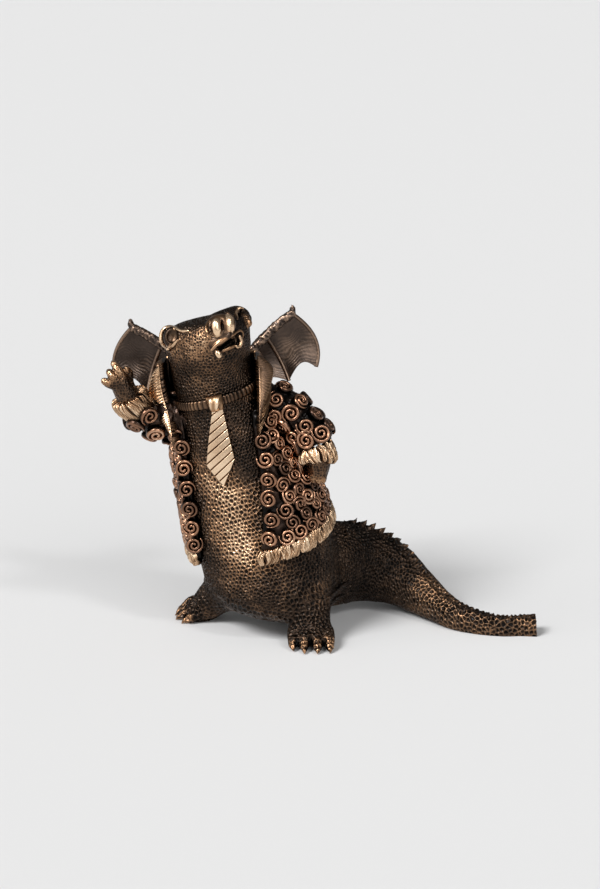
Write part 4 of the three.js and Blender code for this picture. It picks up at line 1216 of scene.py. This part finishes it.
def fur_roll(pile, place, count, seed, samples, lean, ragged, depth, shine, closed=False):
    """A fur trim of locks, which is a rounded section carried along.

    Place takes how far along, across and out. Lean combs the locks aside, ragged sets how uneven
    their ends are, depth how deep the grooves between them are.
    """
    over, ring = samples
    along = np.arange(over) / over if closed else np.linspace(0, 1, over)
    s, turn = np.meshgrid(along, np.arange(ring) * 2 * math.pi / ring, indexing="ij")
    p = signed_power(np.cos(turn), 0.6)
    q = 0.5 + 0.5 * signed_power(np.sin(turn), 0.75)
    combed = s + lean * (p + 0.4 * np.sin(3 * p + count * 0.9 * s)) / count
    gap, luck = locks(combed, count, seed)
    lock = np.sqrt(np.clip(1 - (gap / 0.62) ** 2, 0, 1))
    strand = 0.5 + 0.5 * np.cos(2 * math.pi * (gap * 2.4 + luck[..., 1] + p * 0.5))
    hair = lock * (0.5 + 0.2 * luck[..., 1] + 0.3 * strand)
    ends = 1 if closed else np.clip(np.minimum(s, 1 - s) * count * 1.4, 0, 1) ** 0.5
    reach = 1 - ragged * (luck[..., 2] + 2.4 * gap**2)
    across = p * lerp(1, reach, p * p) * ends
    out = 0.5 + (q * (1 - depth + depth * hair) - 0.5) * ends
    flank = smoothstep(np.abs(p), 0.7, 0.95) * smoothstep(q, 0.02, 0.2)
    shown = np.maximum(smoothstep(q, 0.2, 0.65), flank)
    wear_and_painted_light = 0.05 + smoothstep(hair, 0.25, 0.8) * shown * shine * (0.75 + 0.25 * luck[..., 0])
    pile.add_tube(place(s, across, out), wear_and_painted_light, closed)


def fur_trim(name, *roll, **more):
    """A node of one roll, whose values are those of fur_roll."""
    pile = Pile()
    fur_roll(pile, *roll, **more)
    make(name + "_fur", pile, FUR, name)


def hem(name, start, end, count, seed):
    def place(s, across, out):
        degrees = lerp(start, end, s)
        height = hem_line(degrees) + HEM_HEIGHT * (0.5 - 0.68 * across)
        return around(height, degrees, SKIN_GAP * 0.5 + (HEM_THICKNESS + 0.7) * out)

    fur_trim(name, place, count, seed, (count * 10, 38), 1.8, 0.2, 0.42, 0.95)


def hems():
    hem("hem_left", float(left_edge(HEM_FRONT)), SIDE_LEFT, 46, 31)
    hem("hem_back", SIDE_LEFT, SIDE_RIGHT, 78, 32)
    hem("hem_right", SIDE_RIGHT, float(right_edge(HEM_FRONT)), 20, 33)


def collar_thickness(up):
    return COLLAR_THICKNESS * (0.75 + 0.35 * np.sin(math.pi * np.minimum(1, up + 0.1)))


def collar_back(seed):
    count = 34

    def place(s, across, out):
        up = 0.5 + 0.5 * across
        lift = COLLAR_CLEARANCE + collar_thickness(up) * out
        return around(lerp(COLLAR_BOTTOM, COLLAR_TOP, up), lerp(LAPEL_BACK, 180 - LAPEL_BACK, s), lift)

    fur_trim("collar_back", place, count, seed, (count * 12, 40), 0.5, 0.12, 0.4, 0.7)


# A lapel narrows to its tip and is thickest at its front edge
def lapel(name, side, seed, shine):
    count = 34
    front_edge, back = (left_edge, LAPEL_BACK) if side > 0 else (right_edge, 180 - LAPEL_BACK)

    def place(s, across, out):
        reach = 0.5 + 0.5 * side * across
        bottom = lerp(LAPEL_TIP, COLLAR_BOTTOM, smoothstep(reach, 0, 0.75))
        height = lerp(bottom, COLLAR_TOP, s)
        widen = lerp(0.12, 1, smoothstep(height, LAPEL_TIP - 1, COLLAR_BOTTOM + 2))
        degrees = lerp(front_edge(height), back, widen * reach)
        thick = collar_thickness(s) * (1 + 0.7 * smoothstep(1 - reach, 0.4, 1))
        return around(height, degrees, COLLAR_CLEARANCE + thick * out)

    pile = Pile()
    fur_roll(pile, place, count, seed, (count * 11, 44), 0.9, 0.1, 0.24, shine)
    leaf(pile, side, seed)
    make(name + "_fur", pile, FUR, name)


# The fold along each lapel's front: its lower and upper end, its width, a power that puts its
# fullest place further up the larger it is, and how rubbed it is
LEAVES = {1: (60.5, 79.5, 4, 1.8, 0.52), -1: (61.5, 77.6, 4.2, 1.2, 0.85)}


# Places along the front edge of a lapel, a little further out at its foot
def lapel_edge(side, height):
    low, high = LEAVES[side][:2]
    edge = left_edge(height) if side > 0 else right_edge(height)
    outwards = 1.5 * (high - height) / (high - low)
    return around(height, edge, COLLAR_CLEARANCE + COLLAR_THICKNESS * 0.6 + outwards)


# A leaf that looks forward from the lapel's front edge, with fine strokes across it
def leaf(pile, side, seed):
    low, high, width, fullest, shine = LEAVES[side]
    s, a = grid(150, 30)
    spine = lapel_edge(side, lerp(low, high, s))
    wide = width * (0.08 + 0.92 * np.sin(math.pi * s**fullest) ** 0.75)
    stray = noise(spine + a[..., None] * 3, 1.6, seed)
    stroke = 0.5 + 0.5 * np.sin(2 * math.pi * (s * STROKES + a * 2.4 + 0.6 * stray))
    rim = smoothstep(np.minimum(a, 1 - a), 0, 0.14)
    bulge = 0.5 * np.sin(math.pi * a) ** 0.5 + 0.09 * stroke * rim
    front = spine + np.stack([side * a * wide, 0.35 * a * wide - bulge - 0.3, 0 * a], -1)
    back = spine + np.stack([side * a * wide, 0.35 * a * wide + 0.6, 0 * a], -1)
    wear_and_painted_light = shine * (0.6 + 0.4 * stroke) * (1 - 0.4 * bump_at(a, 0.5, 0.3) * (side > 0))
    pile.add_slab(front, back, wear_and_painted_light)


def collars():
    lapel("lapel_left", 1, 41, 0.55)
    lapel("lapel_right", -1, 42, 0.35)
    collar_back(43)


# Sleeves, cuffs and paws

def sleeve(name, arm, side, seed, further):
    def place(u, v, lift=0.0):
        t = lerp(0.02, SLEEVE_END + further, v)
        return arm.point(t, 360 * u, np.broadcast_to(lift, np.shape(t)))

    v, u = grid(60, 72, closed=True)
    bumps = 0.4 * noise(place(u, v), 1, seed)
    points = place(u, v, bumps - 0.1)
    points[0] = points[0].mean(0)
    points[-1] = points[-1].mean(0)
    pile = Pile()
    pile.add_tube(points, np.clip(0.4 * bumps, 0, 1))
    lapel_line = lapel_edge(side, np.linspace(*LEAVES[side][:2], 12))
    free = lambda at, size: np.linalg.norm(lapel_line - at, axis=1).min() > size * 1.1
    add_curls(pile, lambda u, v: place(u, lerp(0.06, 0.96, v)), SLEEVE_PITCH, free, seed, True)
    make(name + "_fleece", pile, FLEECE, name)


def cuff(name, arm, seed, further, start, swell):
    count = 36

    def place(s, across, out):
        part = 0.5 + 0.5 * across
        t = lerp(SLEEVE_END - start, CUFF_END + 0.04, part) + further
        values, _, beside, front = arm.frame(t)
        outer = CUFF_RADIUS * swell * lerp(0.9, 1.04, smoothstep(part, 0.1, 0.7))
        radius = lerp(values[..., 3] * 0.75, outer, out)[..., None]
        angle = (2 * math.pi * s)[..., None]
        return values[..., :3] + beside * radius * np.cos(angle) + front * radius * np.sin(angle)

    fur_trim(name, place, count, seed, (count * 14, 40), 1.2, 0.3, 0.45, 0.9, closed=True)


# Joints of the fingers along, across and in front of the hand
RIGHT_FINGERS = [
    [(-1, -1.4, 1.5), (0.9, -2.6, 2.6), (1.9, -2.4, 3.4)],
    [(-0.6, -1.6, 0), (2, -2.7, 0.7), (3.4, -1.8, 1.2)],
    [(-0.4, -1, -1.4), (2.6, -1.7, -1.2), (4.6, -0.6, -0.7)],
    [(-2, 0.6, -2), (0.4, 0.6, -2.9), (2, -0.6, -3)],
]
LEFT_FINGERS = [
    [(-1, -1, 1.4), (0.6, -1.8, 2), (1.8, -1.6, 2)],
    [(-1, -1, 0), (0.9, -2, 0), (2.2, -1.9, 0.2)],
    [(-1, -1, -1.4), (0.6, -1.8, -1.9), (1.8, -1.6, -1.8)],
]


def paw(name, arm, fingers, seed, size):
    at, along, across, front = (x[..., :3] for x in arm.frame(0.97))
    spot = lambda p: at + (along * p[0] + across * p[1] + front * p[2]) * size
    wrist = arm.centre(CUFF_END - 0.03)
    ahead = arm.frame(CUFF_END)[1]

    def distance(points):
        hand = np.maximum(arm.distance(points), -((points - wrist) @ ahead))
        for joints in fingers:
            path = [spot(p) for p in joints]
            hand = blend(hand, wire(points, path, np.array([1.1, 1.25, 0.95]) * size), 0.5)
            tip = path[-1] + (path[-1] - path[-2]) * 0.45
            hand = blend(hand, wire(points, [path[-1], tip], [0.75, 0.25]), 0.3)
        return hand

    centre = arm.centre(0.9)
    points, faces, normals, light_reach = sculpted(distance, centre - 10, centre + 10, FACE)
    height, ridge = hammered(points, PAW_PITCH, PAW_DEPTH, seed)
    points = points + normals * height[:, None]
    wear_and_painted_light = 0.1 + ridge * 0.3 + smoothstep((points - at) @ along, -1, 3) * 0.45
    # The paw stays dark where it is closed in: patina in the hollows, and painted shade between the
    # fingers
    make_skin(name, points, faces, wear_and_painted_light * smoothstep(light_reach, 0.3, 0.85))


def arms():
    sleeve("right_sleeve", right_arm, -1, 51, 0)
    sleeve("left_sleeve", left_arm, 1, 52, 0.04)
    cuff("right_cuff", right_arm, 53, 0, 0.1, 1.06)
    cuff("left_cuff", left_arm, 54, 0.05, 0.03, 1.12)
    paw("right_paw", right_arm, RIGHT_FINGERS, 55, 1)
    paw("left_paw", left_arm, LEFT_FINGERS, 56, 0.75)


# Neckband, knot and tie

def on_front(height, across, lift):
    radius = trunk.look(trunk.at_height(height))[..., 4]
    return around(height, -90 + np.degrees(across / radius), lift)


def neckband():
    over, ring = 560, 16
    turn, u = np.meshgrid(np.arange(ring) * 2 * math.pi / ring, np.arange(over) / over, indexing="ij")
    rib = np.abs(np.sin(math.pi * (u * RIBS + 0.4 * np.sin(u * 40)))) ** 0.6
    shown = smoothstep(np.sin(turn), -0.2, 0.5)
    out = (0.5 + 0.5 * np.sin(turn)) ** 0.7
    lift = 0.1 + (BAND_THICKNESS + 0.3) * out * (0.7 + 0.3 * rib)
    points = around(NECK_JOINT - np.cos(turn) * BAND_HEIGHT / 2, 360 * u, lift)
    pile = Pile()
    pile.add_tube(points, rib * shown * (0.36 + 0.22 * noise(points, 2.5, 71)), True)
    make("neckband_ribbed", pile, FUR, "neckband")


def tie_knot():
    v, u = grid(40, 40)
    swell = (np.sin(math.pi * u) * np.sin(math.pi * v)) ** 0.45
    fold = 0.5 + 0.5 * np.cos(2 * math.pi * (u * 2.2 - v * 0.7))
    lift = BAND_THICKNESS + 0.2 + 2 * swell * (0.75 + 0.25 * fold)
    height = NECK_JOINT + (v - 0.55) * KNOT_HEIGHT
    across = (u - 0.5) * KNOT_WIDTH * (0.8 + 0.2 * v)
    pile = Pile()
    pile.add_slab(on_front(height, across, lift), on_front(height, across, np.full(u.shape, 0.3)),
                  0.5 + 0.5 * fold * swell)
    make("tie_knot_folded", pile, TIE, "tie_knot")


def tie_blade():
    v, u = grid(260, 48)
    straight = TIE_LENGTH - TIE_POINT
    # A quarter of the rows shape the point
    reach = np.where(v < 0.75, v / 0.75 * straight, straight + (v - 0.75) / 0.25 * TIE_POINT)
    half = np.where(
        reach < straight,
        lerp(TIE_TOP, TIE_WIDTH, reach / straight) / 2,
        lerp(TIE_WIDTH / 2, 0.15, (reach - straight) / TIE_POINT),
    )
    side = (u * 2 - 1) * half
    stripe = reach / STRIPE + side * 0.31
    groove = np.clip(1 - np.abs((stripe - np.round(stripe)) * STRIPE) / 0.28, 0, 1)
    rim = smoothstep(np.minimum(half - np.abs(side), TIE_LENGTH - reach), 0, 0.35)
    lift = 0.25 + 1.3 * rim**0.5 - 0.4 * groove * rim
    height = NECK_JOINT - TIE_HANG - reach
    across = side + TIE_DRIFT * v
    pile = Pile()
    pile.add_slab(on_front(height, across, lift), on_front(height, across, np.zeros(u.shape)),
                  0.93 * (1 - 0.9 * groove) * (0.3 + 0.7 * rim))
    make("tie_blade_striped", pile, TIE, "tie_blade")


# Wings

def on_wing(side, outwards, up, back):
    tilt = math.radians(WING_TILT)
    shoulders = np.array([math.cos(tilt), 0, math.sin(tilt)])
    rise = np.array([-math.sin(tilt), 0, math.cos(tilt)])
    root = trunk.centre(trunk.at_height(WING_HEIGHT))
    outwards, up, back = (np.asarray(x, float)[..., None] for x in np.broadcast_arrays(outwards, up, back))
    return root + shoulders * side * outwards + rise * up + np.array([0, 1, 0]) * (WING_BACK + back)


# Places on the membrane: s from the shoulder to the tip, u from the arm down to the scalloped edge
def wing_place(side, s, u, thick=0.0):
    inner = s < WING_RIB
    part = np.where(inner, s / WING_RIB, (s - WING_RIB) / (1 - WING_RIB))
    scallop = np.where(inner, 2.2, 3.2) * np.sin(math.pi * part)
    edge = np.where(inner, lerp(-4, -3, part), lerp(-3, 0, part)) + scallop
    arm = lerp(3, WING_RISE, s) + np.sin(math.pi * s)
    bow = 12 * u * (1 - u) * s**4
    outwards = lerp(lerp(7, WING_SPAN, s), lerp(8, WING_SPAN * 1.25, s), u) + bow
    cup = 1.6 * np.sin(math.pi * u) + 3 * s
    return on_wing(side, outwards, lerp(arm, edge, u), cup + thick)


def add_bar(pile, path, radii, sides=14, bumps=0.0, seed=1):
    """A round bar along points, closed at both ends, with a rough skin if it has bumps."""
    limb = Limb([(*p, r, r, 2) for p, r in zip(path, radii)], (0, 1, 0.2))
    steps = np.concatenate([[0], np.linspace(0, 1, 120), [1]])
    t, angle = np.meshgrid(steps, np.arange(sides) * 360 / sides, indexing="ij")
    points = limb.point(t, angle)
    wear_and_painted_light = np.full(t.shape, 0.55)
    if bumps:
        rough = noise(points, 0.5, seed)
        points = limb.point(t, angle, rough * bumps)
        wear_and_painted_light = 0.42 + 0.4 * rough
    points[0] = points[0].mean(0)
    points[-1] = points[-1].mean(0)
    pile.add_tube(points, wear_and_painted_light)


def wing(name, side, seed, shine):
    u, s = grid(130, 110)
    flat = wing_place(side, s, u)
    wavy = u * 15 + 1.1 * np.sin(s * 5 + 1) + 1.3 * noise(flat, 3, seed)
    ripple = 0.5 + 0.5 * np.sin(2 * math.pi * wavy)
    patchy = 0.5 + 0.5 * noise(flat + 9, 3.5, seed + 1)
    strength = smoothstep(u, 0.1, 0.5) * (0.4 + 0.6 * smoothstep(s, 0.3, 0.7)) * patchy
    half = MEMBRANE_HALF + 0.14 * ripple * strength
    wear_and_painted_light = shine + 0.26 * ripple * strength
    pile = Pile()
    pile.add_slab(wing_place(side, s, u, -half), wing_place(side, s, u, half), wear_and_painted_light, wear_and_painted_light)
    arm = [*wing_place(side, np.linspace(0, 1, 6), np.zeros(6)),
           on_wing(side, WING_SPAN + 0.5, WING_RISE + 2.2, 3.2)]
    add_bar(pile, arm, [1.3, 1.35, 1.35, 1.3, 1.25, 1.15, 0.3], 20, 0.2, seed)
    add_bar(pile, wing_place(side, np.ones(8), np.linspace(0, 1, 8)), [RIB_RADIUS] * 8)
    down = np.linspace(0, 1, 5)
    rib = wing_place(side, lerp(0.5, WING_RIB, down), lerp(0.05, 1, down), -0.35)
    add_bar(pile, rib, [RIB_RADIUS] * 5)
    make(name + "_membrane", pile, MEMBRANE, name)


# The pins are inside and keep their solids
def pins():
    material = bronze("pin_bronze", PALE, 0.35, 0.1, 0.8, 0.8)
    for name in ("neck_pin", "tail_pin", "right_leg_pin", "left_leg_pin"):
        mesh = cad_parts[name].data
        mesh.materials.clear()
        mesh.materials.append(material)


# Floor, light and camera

def stage():
    mesh = bpy.data.meshes.new("floor")
    half = 6.0
    corners = [(-half, -half, 0), (half, -half, 0), (half, half, 0), (-half, half, 0)]
    mesh.from_pydata(corners, [], [(0, 1, 2, 3)])
    floor = bpy.data.objects.new("floor", mesh)
    bpy.context.scene.collection.objects.link(floor)
    material = bpy.data.materials.new("floor_paper")
    material.use_nodes = True
    shader = material.node_tree.nodes["Principled BSDF"]
    shader.inputs["Base Color"].default_value = (FLOOR_GREY, FLOOR_GREY, FLOOR_GREY, 1)
    shader.inputs["Roughness"].default_value = 0.9
    shader.inputs["Specular IOR Level"].default_value = 0.1
    mesh.materials.append(material)


def surroundings():
    world = bpy.data.worlds.new("studio")
    bpy.context.scene.world = world
    world.use_nodes = True
    plain = world.node_tree.nodes["Background"]
    plain.inputs["Color"].default_value = (1, 1, 1, 1)
    plain.inputs["Strength"].default_value = 0.2


def sun(name, towards, spread, strength):
    data = bpy.data.lights.new(name, "SUN")
    data.energy = strength
    data.angle = math.radians(spread)
    light = bpy.data.objects.new(name, data)
    light.rotation_mode = "QUATERNION"
    light.rotation_quaternion = Vector(towards).to_track_quat("-Z", "Y")
    bpy.context.scene.collection.objects.link(light)


def lights():
    sun("key", (0.6, 0.6, -0.85), 22, 2.65)
    sun("side", (0.85, 0.5, -0.35), 60, 0.9)
    sun("fill", (-0.5, 1, -0.6), 46, 1.0)
    sun("glint", (-0.45, 0.6, -0.8), 8, 0.42)


def camera():
    data = bpy.data.cameras.new("camera")
    data.lens = LENS
    data.sensor_width = SENSOR
    data.clip_start = 0.01
    data.clip_end = 50
    view = bpy.data.objects.new("camera", data)
    back = Vector(TOWARDS)
    view.location = Vector(TARGET) * MM + back * DISTANCE * MM
    view.rotation_mode = "QUATERNION"
    view.rotation_quaternion = (-back).to_track_quat("-Z", "Y")
    bpy.context.scene.collection.objects.link(view)
    bpy.context.scene.camera = view


camera()
stage()
surroundings()
lights()
body()
head()
coat()
hems()
collars()
arms()
neckband()
tie_knot()
tie_blade()
wing("right_wing", -1, 61, 0.24)
wing("left_wing", 1, 62, 0.32)
pins()

bpy.context.scene.view_settings.view_transform = "Standard"
